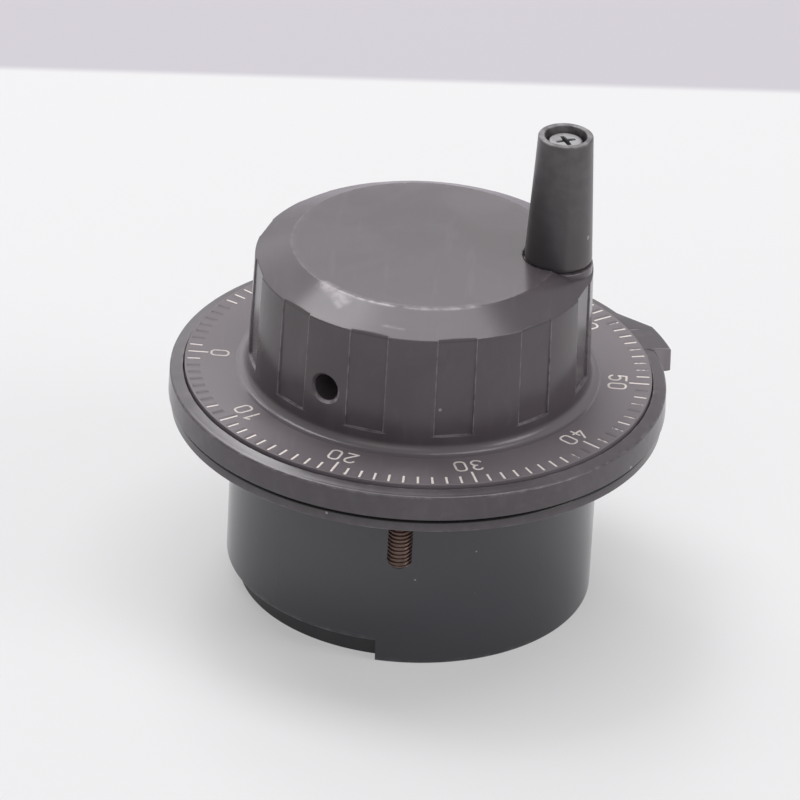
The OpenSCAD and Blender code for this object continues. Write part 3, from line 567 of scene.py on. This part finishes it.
# Patch between a window left in the knob's side and a round hole: rings run from the window's rim to the
# hole's lip, over the lip and down the bore. A point (a, z) of the side lies at
# x = root of (radius(z) squared - a squared), before it is turned to the hole's angle.
def holePatch(k, rim, angle):
    local = swung(rim, -angle)
    a, z = local[:, 1], local[:, 2]
    phi = np.arctan2(z - k["holeZ"], a)
    reach = k["lip"][0][0] + 0.06
    share = np.linspace(0, 1, 7)[1:]
    rows = [(a + s * (reach * np.cos(phi) - a), z + s * (k["holeZ"] + reach * np.sin(phi) - z), 0.0)
            for s in share]
    bore = [(k["holeR"], deep) for deep in (0.46, 0.7, 3.0, 4.5, k["holeDeep"] - 0.1)]
    floor = [(k["holeR"] - 0.1, k["holeDeep"]), (1.0, k["holeDeep"])]
    rows += [(q * np.cos(phi), k["holeZ"] + q * np.sin(phi), deep) for q, deep in k["lip"] + bore + floor]
    out = [np.stack([np.sqrt(sideRadius(k, up) ** 2 - across ** 2) - deep, across, up], 1)
           for across, up, deep in rows]
    points = np.stack([local] + out, 1)
    # painted highlight: only the lower side of the lip is painted bright
    marks = np.zeros(points.shape[:2])
    lip = slice(len(share), len(share) + len(k["lip"]) + 1)
    marks[:, lip] = 0.8 * smooth(np.cos(phi + math.radians(60)))[:, None]
    low = np.array([k["footR"] - k["holeDeep"] - 0.2, 0, k["holeZ"]])
    return swung(points, angle), marks, swung(low, angle)


def buildKnob(k):
    points, marks, outline = knobSurface(k)
    columns, rows = points.shape[:2]
    angle = np.degrees(np.arctan2(points[:, 20, 1], points[:, 20, 0])) % 360
    up = outline[:, 1]
    side = (np.arange(rows) > 14) & (outline[:, 0] > k["topR"] - 0.01)
    inRows = np.where(side & (np.abs(up - k["holeZ"]) < k["windowHalf"] - 0.1))[0]
    skip = np.zeros((columns, rows), bool)
    shells = []
    for at in k["holes"]:
        inColumns = np.where(np.abs(angle - at) < k["windowAngle"])[0]
        c0, c1, r0, r1 = inColumns[0], inColumns[-1], inRows[0], inRows[-1]
        skip[c0:c1, r0:r1] = True
        cc = np.concatenate([np.arange(c0, c1), np.full(r1 - r0, c1), np.arange(c1, c0, -1),
                             np.full(r1 - r0, c0)])
        rr = np.concatenate([np.full(c1 - c0, r0), np.arange(r0, r1), np.full(c1 - c0, r1),
                             np.arange(r1, r0, -1)])
        patch, patchMarks, pole = holePatch(k, points[cc, rr], at)
        shells.append(shell(patch, {"edge": patchMarks}, poles=(None, pole)))
    low = [0, 0, k["foot"] - k["sunk"]]
    high = [0, 0, k["crease"] - k["dish"]]
    shells.append(shell(points, marks, poles=(low, high), skip=skip))
    pad = rounded([(0.5, k["padFoot"], 0), (k["padR"], k["padFoot"], 0.1), (k["padR"], k["padTop"], 0.16),
                   (0.5, k["padTop"], 0)])
    around = turned(pad, np.linspace(0, 360, 96, endpoint=False))
    around[..., 0] += k["padAt"]
    edge = 0.3 * near(pad[:, 1] - k["padTop"], 0.2) * (pad[:, 0] > k["padR"] - 0.4)
    shells.append(shell(around, {"edge": edge[None, :]},
                        poles=([k["padAt"], 0, k["padFoot"]], [k["padAt"], 0, k["padTop"]])))
    return shells


makePiece("knob_cap", buildKnob(knob), "handwheel", "knob_plastic", ["knob"])

# ---------- dial ----------

dial = {"r": 38.04, "bore": 10.5, "low": 6.2, "face": 7.5, "divisions": 100, "lineOut": 37.6,
        "short": 2.1, "long": 3.3, "halfLine": 0.165, "deep": 0.07,
        "rubbedOut": [2, 3, 4, 5, 6, 7, 9, 39, 42, 46, 49, 93, 94, 95, 96, 97, 98],
        "fading": [38, 41, 43, 45, 47, 52, 53, 55, 59, 63, 66, 71, 78, 84, 88]}


# Plate whose face sinks by its line depth wherever a point lies within half a line's width of a division's
# middle plane and between the line's two radii
def buildDial(d):
    # rows crowd where the division lines end
    rows = [d["lineOut"] + v for v in (0.2, 0.06, 0, -0.06, -0.4, -1.1)]
    rows += [d["lineOut"] - d["short"] + v for v in (0.1, 0.04, -0.02, -0.08, -0.5)]
    rows += [d["lineOut"] - d["long"] + v for v in (0.1, 0.04, -0.02, -0.08, -1.3, -4.3, -8.3)]
    outline = rounded([(d["bore"], d["low"], 0.1), (d["r"], d["low"], 0.1), (d["r"], d["face"], 0.1),
                       *((r, d["face"], 0) for r in rows), (d["bore"], d["face"], 0.1)], closed=True)
    r, z = outline[:, 0], outline[:, 1]
    top = z > d["face"] - 1e-6
    columns, grooves, fills = [], [], []
    beside = np.array([-0.9, -d["halfLine"] - 0.05, -d["halfLine"] + 0.01, -d["halfLine"] + 0.05])
    for k in range(d["divisions"]):
        inner = d["lineOut"] - (d["long"] if k % 10 == 0 else d["short"])
        along = smooth((r - inner + 0.03) / 0.09) * smooth((d["lineOut"] + 0.03 - r) / 0.09) * top
        fill = 0.16 if k in d["rubbedOut"] else 0.5 if k in d["fading"] else 1.0
        for y in (*beside, 0, *-beside[::-1]):
            sunk = along * (abs(y) < d["halfLine"])
            x = np.sqrt(r ** 2 - y ** 2)
            at = np.stack([x, np.full_like(r, y), z - d["deep"] * sunk], 1)
            columns.append(swung(at, 180 + k * 360 / d["divisions"]))
            grooves.append(sunk)
            fills.append(sunk * fill)
    return [shell(np.array(columns), {"groove": np.array(grooves), "paint": np.array(fills)}, loop=True)]


makePiece("dial_face", buildDial(dial), "handwheel", "dial_black", ["dial_plate"])


def line(*ends):
    return np.array(ends, float)


# Arc of an ellipse between two angles in degrees
def bow(x, y, rx, ry, start, stop):
    t = np.radians(np.linspace(start, stop, max(6, int(abs(stop - start) / 12))))
    return np.stack([x + rx * np.cos(t), y + ry * np.sin(t)], 1)


# Strokes of plain engraved digits, in a box 1.7 wide and 2.8 high about its middle
digits = {
    "0": [np.vstack([bow(0.15, 0.7, 0.7, 0.7, 0, 90), bow(-0.15, 0.7, 0.7, 0.7, 90, 180),
                     bow(-0.15, -0.7, 0.7, 0.7, 180, 270), bow(0.15, -0.7, 0.7, 0.7, 270, 360),
                     line((0.85, 0.7))])],
    "1": [line((0.2, 1.4), (0.2, -1.4)), line((0.2, 1.4), (-0.5, 0.85))],
    "2": [np.vstack([bow(0, 0.65, 0.8, 0.75, 165, -35), line((-0.8, -1.4))]),
          line((-0.8, -1.4), (0.85, -1.4))],
    "3": [bow(-0.03, 0.72, 0.74, 0.68, 150, -90), bow(-0.03, -0.68, 0.83, 0.72, 90, -155)],
    "4": [line((0.3, 1.4), (-0.85, -0.55)), line((-0.85, -0.55), (0.85, -0.55)),
          line((0.35, 0.3), (0.35, -1.4))],
    "5": [line((0.75, 1.4), (-0.65, 1.4)), line((-0.65, 1.4), (-0.75, 0.15)),
          bow(-0.02, -0.48, 0.84, 0.92, 140, -150)],
    "6": [np.vstack([bow(0.1, 0.1, 0.93, 1.3, 60, 180), bow(0.0, -0.55, 0.83, 0.85, 180, 540)])],
    "7": [line((-0.85, 1.4), (0.85, 1.4)), line((0.85, 1.4), (-0.35, -1.4))],
    "8": [bow(0, 0.72, 0.68, 0.68, 0, 360), bow(0, -0.68, 0.82, 0.72, 0, 360)],
    "9": [np.vstack([bow(-0.1, -0.1, 0.93, 1.3, 240, 360), bow(0.0, 0.55, 0.83, 0.85, 0, 360)])],
}
numerals = {"middle": 32.4, "halfWidth": 0.185, "high": 0.035, "apart": 1.35, "every": 10}


# A stroke is a low rounded bead along its path: across it the section is half an ellipse above and below
# the face, and towards both ends the width falls as a quarter circle, so that the ends are round
def bead(path, n, angle, shift):
    step = np.linalg.norm(np.diff(path, axis=0), axis=1)
    run = np.append(0, np.cumsum(step))
    count = max(8, int(run[-1] / 0.11))
    even = np.linspace(0, run[-1], count)
    path = np.stack([np.interp(even, run, path[:, 0]), np.interp(even, run, path[:, 1])], 1)
    along = np.gradient(path, axis=0)
    along /= np.linalg.norm(along, axis=1)[:, None]
    w = n["halfWidth"]
    tip = np.radians([85, 60, 40, 20])
    path = np.vstack([path[0] - along[0] * w * np.sin(tip)[:, None], path,
                      path[-1] + along[-1] * w * np.sin(tip[::-1])[:, None]])
    along = np.vstack([np.repeat(along[:1], 4, 0), along, np.repeat(along[-1:], 4, 0)])
    width = np.concatenate([np.cos(tip), np.ones(count), np.cos(tip[::-1])])
    across = np.stack([-along[:, 1], along[:, 0]], 1)
    psi = np.linspace(0, 2 * math.pi, 10, endpoint=False)[:, None]
    u = path[None, :, 0] + across[None, :, 0] * width * w * np.cos(psi)
    v = path[None, :, 1] + across[None, :, 1] * width * w * np.cos(psi)
    up = dial["face"] + n["high"] * width * np.sin(psi)
    points = np.stack([n["middle"] + v, -(u + shift), up], -1)
    ends = (points[:, 0].mean(0), points[:, -1].mean(0))
    points, ends = swung(points, angle), (swung(ends[0], angle), swung(ends[1], angle))
    # the section turns the other way round the path than a turned piece does round its axis
    return shell(points[::-1], poles=ends)


def buildNumerals(n, d):
    shells = []
    for k in range(0, d["divisions"], n["every"]):
        word = str(k)
        for i, digit in enumerate(word):
            shift = (i - (len(word) - 1) / 2) * 2 * n["apart"]
            for path in digits[digit]:
                shells.append(bead(path, n, 180 + k * 360 / d["divisions"], shift))
    return shells


# Cream paint in the engraved numerals, uneven and a little dirty
def paintMaterial():
    material, tree, shader, place = newMaterial("numeralPaint")
    cloud, streak = useGroup(tree, smudge, [("Place", place)], Scale=260.0).outputs
    tone = mixColour(tree, cloud, cream, (0.62, 0.57, 0.53))
    tone = tint(tree, tone, streak, 0.5, (0.3, 0.27, 0.25))
    tree.links.new(tone, shader.inputs["Base Color"])
    shader.inputs["Roughness"].default_value = 0.6
    return material


makePiece("dial_numerals", buildNumerals(numerals, dial), "handwheel", "dial_black",
          material=paintMaterial())

# ---------- bezel and flange ----------

bezel = {"r": 40.5, "draft": 0.1, "low": 2.3, "high": 6.4, "innerHigh": 6.9, "inner": 38.2, "floorTop": 4.2,
         "floorR": 32.3, "edge": 0.42, "lugR": 43.3, "lugAt": 19.5, "lugAngle": 10.5, "lugRamp": 9,
         "crown": [(40.4, 6.42), (39.75, 6.55), (39.6, 6.59), (39.45, 6.63), (39.1, 6.71), (38.7, 6.80)],
         "indexAt": 29.5, "halfIndex": 0.15, "indexDeep": 0.06}


# Reach of the rim at each angle: the circle, the lug's arc with a square front, and behind it the straight
# line from the arc's end to the rim, r = d / cos(angle - foot), the polar form of a chord
def bezelReach(b, angle):
    out = np.full(angle.shape, b["r"])
    a0, a1 = b["lugAt"], b["lugAt"] + b["lugAngle"]
    a2 = a1 + b["lugRamp"]
    out = np.where(angle > a0, b["r"] + (b["lugR"] - b["r"]) * smooth((angle - a0) / 0.22 + 0.5), out)
    p = b["lugR"] * np.array([math.cos(math.radians(a1)), math.sin(math.radians(a1))])
    q = b["r"] * np.array([math.cos(math.radians(a2)), math.sin(math.radians(a2))])
    normal = np.array([q[1] - p[1], p[0] - q[0]])
    normal /= np.linalg.norm(normal)
    chord = abs(p @ normal) / np.cos(np.radians(angle) - math.atan2(normal[1], normal[0]))
    ramp = (angle > a1) & (angle < a2)
    return np.where(ramp, np.minimum(chord, b["lugR"]), np.where(angle >= a2, b["r"], out))


def buildBezel(b):
    fine = [b["lugAt"] + v for v in (-0.3, -0.11, -0.07, -0.03, 0, 0.03, 0.07, 0.11, 0.2, 0.4)]
    lug = np.linspace(b["lugAt"] + 0.8, b["lugAt"] + b["lugAngle"] + b["lugRamp"], 30)
    index = [b["indexAt"] + v for v in (-0.5, -0.3, -0.2, 0, 0.2, 0.3, 0.5)]
    angle = np.unique(np.concatenate([np.linspace(0, 360, 240, endpoint=False), fine, lug, index]))
    reach = bezelReach(b, angle)
    columns, marks, paintedShadeBands = [], [], []
    for a, r in zip(angle, reach):
        top = r - b["draft"]
        # the rim's top falls away in a crown, and on the lug it is one even slope
        crown = np.array([(top, b["crown"][0][1]), *b["crown"][1:]])
        flat = np.linspace((top, b["high"]), (crown[-1, 0], b["innerHigh"] - 0.06), len(crown))
        share = smooth((r - b["r"]) / 0.8)
        over = crown * (1 - share) + flat * share
        section = rounded([(b["floorR"], b["low"], 0.08), (r, b["low"], 0.2), (*over[0], b["edge"]),
                           *((*at, 0) for at in over[1:]), (b["inner"], b["innerHigh"], 0.16),
                           (b["inner"], b["floorTop"], 0.1), (b["floorR"], b["floorTop"], 0.08)], closed=True)
        columns.append(turned(section, np.array([a]))[0])
        outer = 0.6 * near(section[:, 0] - top, 0.25) * near(section[:, 1] - over[0, 1], 0.25)
        inner = near(section[:, 0] - b["inner"], 0.2) * near(section[:, 1] - b["innerHigh"], 0.2)
        marks.append(np.maximum(outer, inner))
        # painted shade along the bezel's foot, at its joint with the flange
        paintedShadeBands.append(smooth((b["low"] + 0.2 - section[:, 1]) / 0.15))
    points = np.array(columns)
    r = np.hypot(points[..., 0], points[..., 1])
    across = r * np.sin(np.radians(angle - b["indexAt"]))[:, None]
    on = (r > b["inner"] + 0.4) * (r < b["r"] - 0.35) * (points[..., 2] > b["high"] - 0.1)
    cut = smooth((b["halfIndex"] + 0.06 - np.abs(across)) / 0.08) * on
    points[..., 2] -= b["indexDeep"] * cut
    # painted highlight: the lug's front face is painted pale, and the index line's fill shares the mark
    lugHighlight = smooth((b["lugAt"] + 0.35 - angle) / 0.2) * smooth((angle - b["lugAt"] + 0.35) / 0.2)
    pale = np.maximum(lugHighlight[:, None] * (r > b["r"] - 0.3), 0.8 * cut)
    return [shell(points, {"edge": np.array(marks), "foot": pale, "grime": np.array(paintedShadeBands)}, loop=True)]


makePiece("bezel_cover", buildBezel(bezel), "body", "bezel_black", ["bezel_ring"])

flange = {"r": 40.0, "high": 2.3, "bore": 11.6, "recessR": 30.4, "recess": 0.4, "bevel": 0.75}


def buildFlange(f):
    outline = rounded([(f["bore"], f["recess"], 0), (f["recessR"], f["recess"], 0.05),
                       (f["recessR"], 0, 0.08), (f["r"], 0, 0.18), (f["r"], f["high"] - f["bevel"], 0.1),
                       (f["r"] - f["bevel"], f["high"], 0.05), (f["bore"], f["high"], 0)], closed=True)
    # painted shade over the top bevel, where the flange meets the bezel
    paintedShadeBand = smooth((outline[:, 1] - f["high"] + f["bevel"] + 0.15) / 0.2)
    edge = near(outline[:, 0] - f["r"], 0.2) * near(outline[:, 1], 0.15)
    marks = {"edge": edge[None, :], "grime": paintedShadeBand[None, :]}
    return [shell(turned(outline, np.linspace(0, 360, 240, endpoint=False)), marks, loop=True)]


makePiece("flange_plate", buildFlange(flange), "body", slotOf["mounting_flange"], ["mounting_flange"],
          finish["bezel_black"])

# ---------- body ----------

body = {"r": 30.0, "inner": 28.0, "low": -30.5, "spigotR": 29.5, "spigot": 0.4, "notchHigh": -26.8,
        "notchFrom": -186.5, "notchAngle": 90.0}


# Wall of the body. Its rear edge stands at the low end, or at the notch's height over the notch's angle,
# with a steep step between the two
def buildBody(b):
    start, stop = b["notchFrom"], b["notchFrom"] + b["notchAngle"]
    steps = np.array([-0.25, -0.1, -0.05, 0.0, 0.05, 0.1, 0.25])
    even = np.linspace(-190, 170, 240, endpoint=False)
    angle = np.unique(np.concatenate([even, start + steps, stop + steps]))
    lift = smooth((angle - start) / 0.2 + 0.5) * smooth((stop - angle) / 0.2 + 0.5)
    columns, marks = [], []
    for a, up in zip(angle, lift):
        edge = b["low"] + up * (b["notchHigh"] - b["low"])
        section = rounded([(b["r"], edge, 0.22), (b["r"], edge + 0.9, 0), (b["r"], -0.02, 0.1),
                           (b["spigotR"], -0.02, 0),
                           (b["spigotR"], b["spigot"], 0.08), (b["inner"], b["spigot"], 0.08),
                           (b["inner"], -21.7, 0), (b["inner"], edge, 0.18)], closed=True)
        columns.append(turned(section, np.array([a]))[0])
        marks.append(near(section[:, 1] - edge, 0.25))
    return [shell(np.array(columns), {"edge": np.array(marks)}, loop=True)]


makePiece("body_wall", buildBody(body), "body", "black_casing", ["body_shell"])

# ---------- studs ----------

stud = {"r": 2.0, "rootR": 1.57, "pitch": 0.7, "low": -8.6, "top": -0.02, "at": 36.0, "tipR": 1.3, "tip": 0.7,
        "neckR": 2.25, "neckLow": 0.01, "neckTop": 1.1, "headR": 3.2, "headTop": 2.28,
        "angles": (-90, 30, 150)}


# Thread: radius = root + depth * ridge(phase), phase = height / pitch - angle / full turn, where the ridge
# is a 60 degree trapezium. It runs out in the point's chamfer.
def buildStuds(s):
    shells = []
    angles = np.linspace(0, 360, 40, endpoint=False)
    z = np.linspace(s["low"], s["top"], 121)
    phase = (z[None, :] / s["pitch"] - angles[:, None] / 360) % 1
    ridge = np.clip((0.5 - np.abs(phase - 0.5)) * 2.9 - 0.35, 0, 1)
    chamfer = np.minimum(1, (z - s["low"]) / s["tip"])[None, :]
    r = np.minimum(s["rootR"] + (s["r"] - s["rootR"]) * ridge, s["tipR"] + (s["r"] - s["tipR"]) * chamfer)
    turn = np.radians(angles)[:, None]
    thread = np.stack([r * np.cos(turn), r * np.sin(turn), z[None, :] + 0 * turn], 2)
    head = rounded([(s["neckR"], s["neckLow"], 0), (s["neckR"], s["neckTop"], 0),
                    (s["headR"], s["neckTop"], 0), (s["headR"], s["headTop"], 0.1), (0.6, s["headTop"], 0)])
    parts = [(thread, s["low"], s["top"]), (turned(head, angles), s["neckLow"], s["headTop"])]
    for a in s["angles"]:
        for part, low, high in parts:
            ends = [swung(np.array([s["at"], 0, v]), a) for v in (low, high)]
            shells.append(shell(swung(part + np.array([s["at"], 0, 0]), a), poles=ends))
    return shells


makePiece("stud_threads", buildStuds(stud), "body", "stud_copper", ["mounting_studs"])

# ---------- crank grip and its screw ----------

grip = {"at": 21.5, "low": 29.5, "high": 51.7, "footR": 5.5, "topR": 4.42, "boreR": 2.35, "recessR": 3.4,
        # the last two give the angle and half width of the painted dark reflection
        "recess": 3.3, "footEdge": 0.6, "topEdge": 0.25, "reflectionAt": 228, "reflectionHalf": 50}


def buildGrip(g):
    floor = g["high"] - g["recess"]
    outline = rounded([(g["boreR"], g["low"], 0), (g["footR"], g["low"], g["footEdge"]),
                       (g["topR"], g["high"], g["topEdge"]), (g["recessR"], g["high"], 0.2),
                       (g["recessR"], floor, 0.15), (g["boreR"], floor, 0)], closed=True, steps=6)
    angles = np.linspace(0, 360, 128, endpoint=False)
    points = turned(outline, angles)
    points[..., 0] += g["at"]
    r, z = outline[:, 0], outline[:, 1]
    edge = near(z - g["high"], 0.25) + 0.7 * near(z - g["low"], 0.3)
    recess = 0.9 * (r < g["recessR"] + 0.05) * (z > floor - 0.1)
    # a painted dark reflection on the front-left side, with a slanting border
    away = np.abs((angles - g["reflectionAt"] + 180) % 360 - 180)[:, None]
    share = (z - g["low"]) / (g["high"] - g["low"])
    half = g["reflectionHalf"] * (1.25 - 0.75 * share)[None, :]
    darkReflection = 0.8 * smooth((half - away) / 12) * smooth((0.9 - share) / 0.3)
    return [shell(points, {"edge": np.maximum(edge, recess)[None, :], "foot": darkReflection}, loop=True)]


makePiece("grip_shell", buildGrip(grip), "grip", "grip_plastic", ["crank_grip"])

screw = {"at": 21.5, "r": 2.8, "low": 48.6, "high": 50.8, "edge": 0.4, "faceR": 2.2, "slot": 1.7,
         "halfSlot": 0.36, "deep": 0.96, "turn": 25, "shankR": 1.49, "shankLow": 22.2}


# Head with a cross recess: the face sinks to the depth times the larger of two ramps, one for each arm, each
# full within the arm's half width and length and steep at its walls
def buildScrew(s):
    shank = rounded([(0.4, s["shankLow"], 0), (s["shankR"], s["shankLow"], 0.2), (s["shankR"], s["low"], 0),
                     (s["r"], s["low"], 0.1), (s["r"], s["high"] - 0.02, s["edge"]),
                     (s["faceR"], s["high"], 0)], steps=6)
    r = np.linspace(s["faceR"] - 0.1, 0.1, 40)
    outline = np.vstack([shank, np.stack([r, np.full_like(r, s["high"] - 0.002)], 1)])
    points = turned(outline, np.linspace(0, 360, 160, endpoint=False))
    local = swung(points, -s["turn"])
    x, y = local[..., 0], local[..., 1]
    sink = 0
    for p, q in ((x, y), (y, x)):
        taper = s["halfSlot"] * (1.15 - 0.35 * np.abs(p) / s["slot"])
        arm = smooth((taper + 0.05 - np.abs(q)) / 0.12) * smooth((s["slot"] - np.abs(p)) / 0.25)
        sink = np.maximum(sink, arm)
    sink *= (points[..., 2] > s["high"] - 0.1) * (np.hypot(x, y) < s["faceR"] - 0.05)
    points[..., 2] -= s["deep"] * sink
    points[..., 0] += s["at"]
    poles = ([s["at"], 0, s["shankLow"]], [s["at"], 0, s["high"] - s["deep"]])
    return [shell(points, {"slot": sink}, poles=poles)]


# Plated head, with painted shade inside its cross
def screwMaterial():
    material, tree, shader, place = newMaterial("screwHead")
    cloud, streak = useGroup(tree, smudge, [("Place", place)], Scale=300.0).outputs
    tone = tint(tree, (0.30, 0.295, 0.30), cloud, 0.6, (0.21, 0.205, 0.21))
    # painted shade inside the cross recess
    tone = tint(tree, tone, markOf(tree, "slot"), 0.85, (0.03, 0.03, 0.03))
    tree.links.new(tone, shader.inputs["Base Color"])
    vary(tree, shader, streak, (0.42, 0.6))
    shader.inputs["Metallic"].default_value = 0.7
    return material


makePiece("grip_screw_head", buildScrew(screw), "handwheel", "zinc_screw", ["grip_screw"],
          screwMaterial())

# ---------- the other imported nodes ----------

for name, node in nodes.items():
    node.data.materials.clear()
    node.data.materials.append(finish[slotOf[name]])
print("finishes given to", len(nodes), "nodes")

# ---------- camera, floor and light ----------

view = {"turn": 2.4, "rise": 29.38, "roll": 3.02, "distance": 1.1777, "lens": 325.26,
        "aim": (-0.00273, 0.0, 0.00123)}


def makeCamera(v):
    e, q = math.radians(v["rise"]), math.radians(v["roll"])
    ahead = np.array([0, math.cos(e), -math.sin(e)])
    side, up = np.array([1.0, 0, 0]), np.array([0, math.sin(e), math.cos(e)])
    right = side * math.cos(q) + up * math.sin(q)
    top = -side * math.sin(q) + up * math.cos(q)
    axes = np.stack([right, top, -ahead, np.array(v["aim"]) - v["distance"] * ahead])
    axes = swung(axes, v["turn"])
    cam = bpy.data.objects.new("camera", bpy.data.cameras.new("camera"))
    bpy.context.scene.collection.objects.link(cam)
    cam.data.lens, cam.data.sensor_width = v["lens"], 36.0
    cam.data.clip_start, cam.data.clip_end = 0.05, 20
    matrix = np.eye(4)
    matrix[:3, :] = axes.T
    cam.matrix_world = Matrix(matrix.tolist())
    bpy.context.scene.camera = cam


makeCamera(view)


# Sheet of paper, a hair below the object so that no two faces share a plane
def makeFloor():
    half, low = 1.6, cadLow[2] - 0.00002
    mesh = bpy.data.meshes.new("floor")
    mesh.from_pydata([(-half, -half, low), (half, -half, low), (half, half, low), (-half, half, low)],
                     [], [(0, 1, 2, 3)])
    floor = bpy.data.objects.new("floor", mesh)
    bpy.context.scene.collection.objects.link(floor)
    material, tree, shader, place = newMaterial("paleFloor")
    tone = mixColour(tree, noise(tree, place, 3.0), (0.815, 0.812, 0.815), (0.835, 0.832, 0.835))
    # behind the object the paper ends at a backing sheet, a little darker, along a slanting line
    turn = addNode(tree, "ShaderNodeMapping", [("Vector", place)])
    turn.inputs["Rotation"].default_value = (0, 0, math.radians(-5.3))
    parts = addNode(tree, "ShaderNodeSeparateXYZ", [(0, turn.outputs[0])])
    tone = mixColour(tree, remap(tree, parts.outputs[1], 0.1765, 0.1795), tone, (0.61, 0.585, 0.625))
    tree.links.new(tone, shader.inputs["Base Color"])
    shader.inputs["Roughness"].default_value = 0.7
    shader.inputs["Specular IOR Level"].default_value = 0.1
    # seen straight, and less in a gloss, part of the paper shows plain, which keeps the shadow light
    path = tree.nodes.new("ShaderNodeLightPath")
    gloss = sums(tree, "MULTIPLY", path.outputs["Is Glossy Ray"], 0.8)
    seen = sums(tree, "MAXIMUM", path.outputs["Is Camera Ray"], gloss)
    glow = addNode(tree, "ShaderNodeEmission", [(0, tone)])
    both = addNode(tree, "ShaderNodeMixShader", [(0, sums(tree, "MULTIPLY", seen, 0.4)),
                                                 (1, shader.outputs[0]), (2, glow.outputs[0])])
    # from below the paper is see-through, so that the underside can be looked at
    clear = tree.nodes.new("ShaderNodeBsdfTransparent")
    under = tree.nodes.new("ShaderNodeNewGeometry").outputs["Backfacing"]
    sided = addNode(tree, "ShaderNodeMixShader", [(0, under), (1, both.outputs[0]), (2, clear.outputs[0])])
    tree.links.new(sided.outputs[0], tree.nodes["Material Output"].inputs["Surface"])
    mesh.materials.append(material)


makeFloor()


# Rectangular lamp that faces the origin
def makeLight(name, place, size, power, colour=(1.0, 0.985, 1.0)):
    lamp = bpy.data.lights.new(name, "AREA")
    lamp.shape, lamp.size, lamp.size_y = "RECTANGLE", size[0], size[1]
    lamp.energy, lamp.color = power, colour
    thing = bpy.data.objects.new(name, lamp)
    bpy.context.scene.collection.objects.link(thing)
    z = np.array(place) / np.linalg.norm(place)
    x = np.cross([0, 0, 1], z)
    x /= np.linalg.norm(x)
    matrix = np.eye(4)
    matrix[:3, 0], matrix[:3, 1], matrix[:3, 2], matrix[:3, 3] = x, np.cross(z, x), z, place
    thing.matrix_world = Matrix(matrix.tolist())


makeLight("topLight", (0.08, 0.22, 1.10), (0.90, 0.42), 4.4, (1.0, 0.99, 1.0))
makeLight("windowLight", (-0.44, 0.47, 1.08), (0.58, 0.42), 4.3)
makeLight("paneLight", (-0.21, 0.90, 0.92), (0.34, 0.28), 1.8)
makeLight("backLight", (-0.60, 1.38, 0.90), (1.4, 1.1), 4.1)
makeLight("frontLight", (-0.35, -1.25, 0.95), (1.3, 0.9), 2.8)
makeLight("rightLight", (1.15, -0.35, 0.70), (0.6, 0.6), 4.2)


# Pale surroundings, plain white where the camera looks straight at them
def makeWorld():
    world = bpy.data.worlds.new("surroundings")
    bpy.context.scene.world = world
    world.use_nodes = True
    tree = world.node_tree
    tree.nodes.clear()
    path = tree.nodes.new("ShaderNodeLightPath")
    shown = addNode(tree, "ShaderNodeBackground")
    shown.inputs["Color"].default_value = (0.86, 0.86, 0.87, 1)
    lit = addNode(tree, "ShaderNodeBackground")
    lit.inputs["Color"].default_value = (0.96, 0.96, 1.0, 1)
    lit.inputs["Strength"].default_value = 0.33
    gloss = sums(tree, "MULTIPLY", path.outputs["Is Glossy Ray"], 0.75)
    seen = sums(tree, "MAXIMUM", path.outputs["Is Camera Ray"], gloss)
    seen = sums(tree, "MAXIMUM", seen, path.outputs["Is Transmission Ray"])
    mixed = addNode(tree, "ShaderNodeMixShader", [(0, seen), (1, lit.outputs[0]), (2, shown.outputs[0])])
    out = addNode(tree, "ShaderNodeOutputWorld")
    tree.links.new(mixed.outputs[0], out.inputs["Surface"])


makeWorld()
bpy.context.scene.view_settings.view_transform = "Standard"
print("camera, floor and light made")
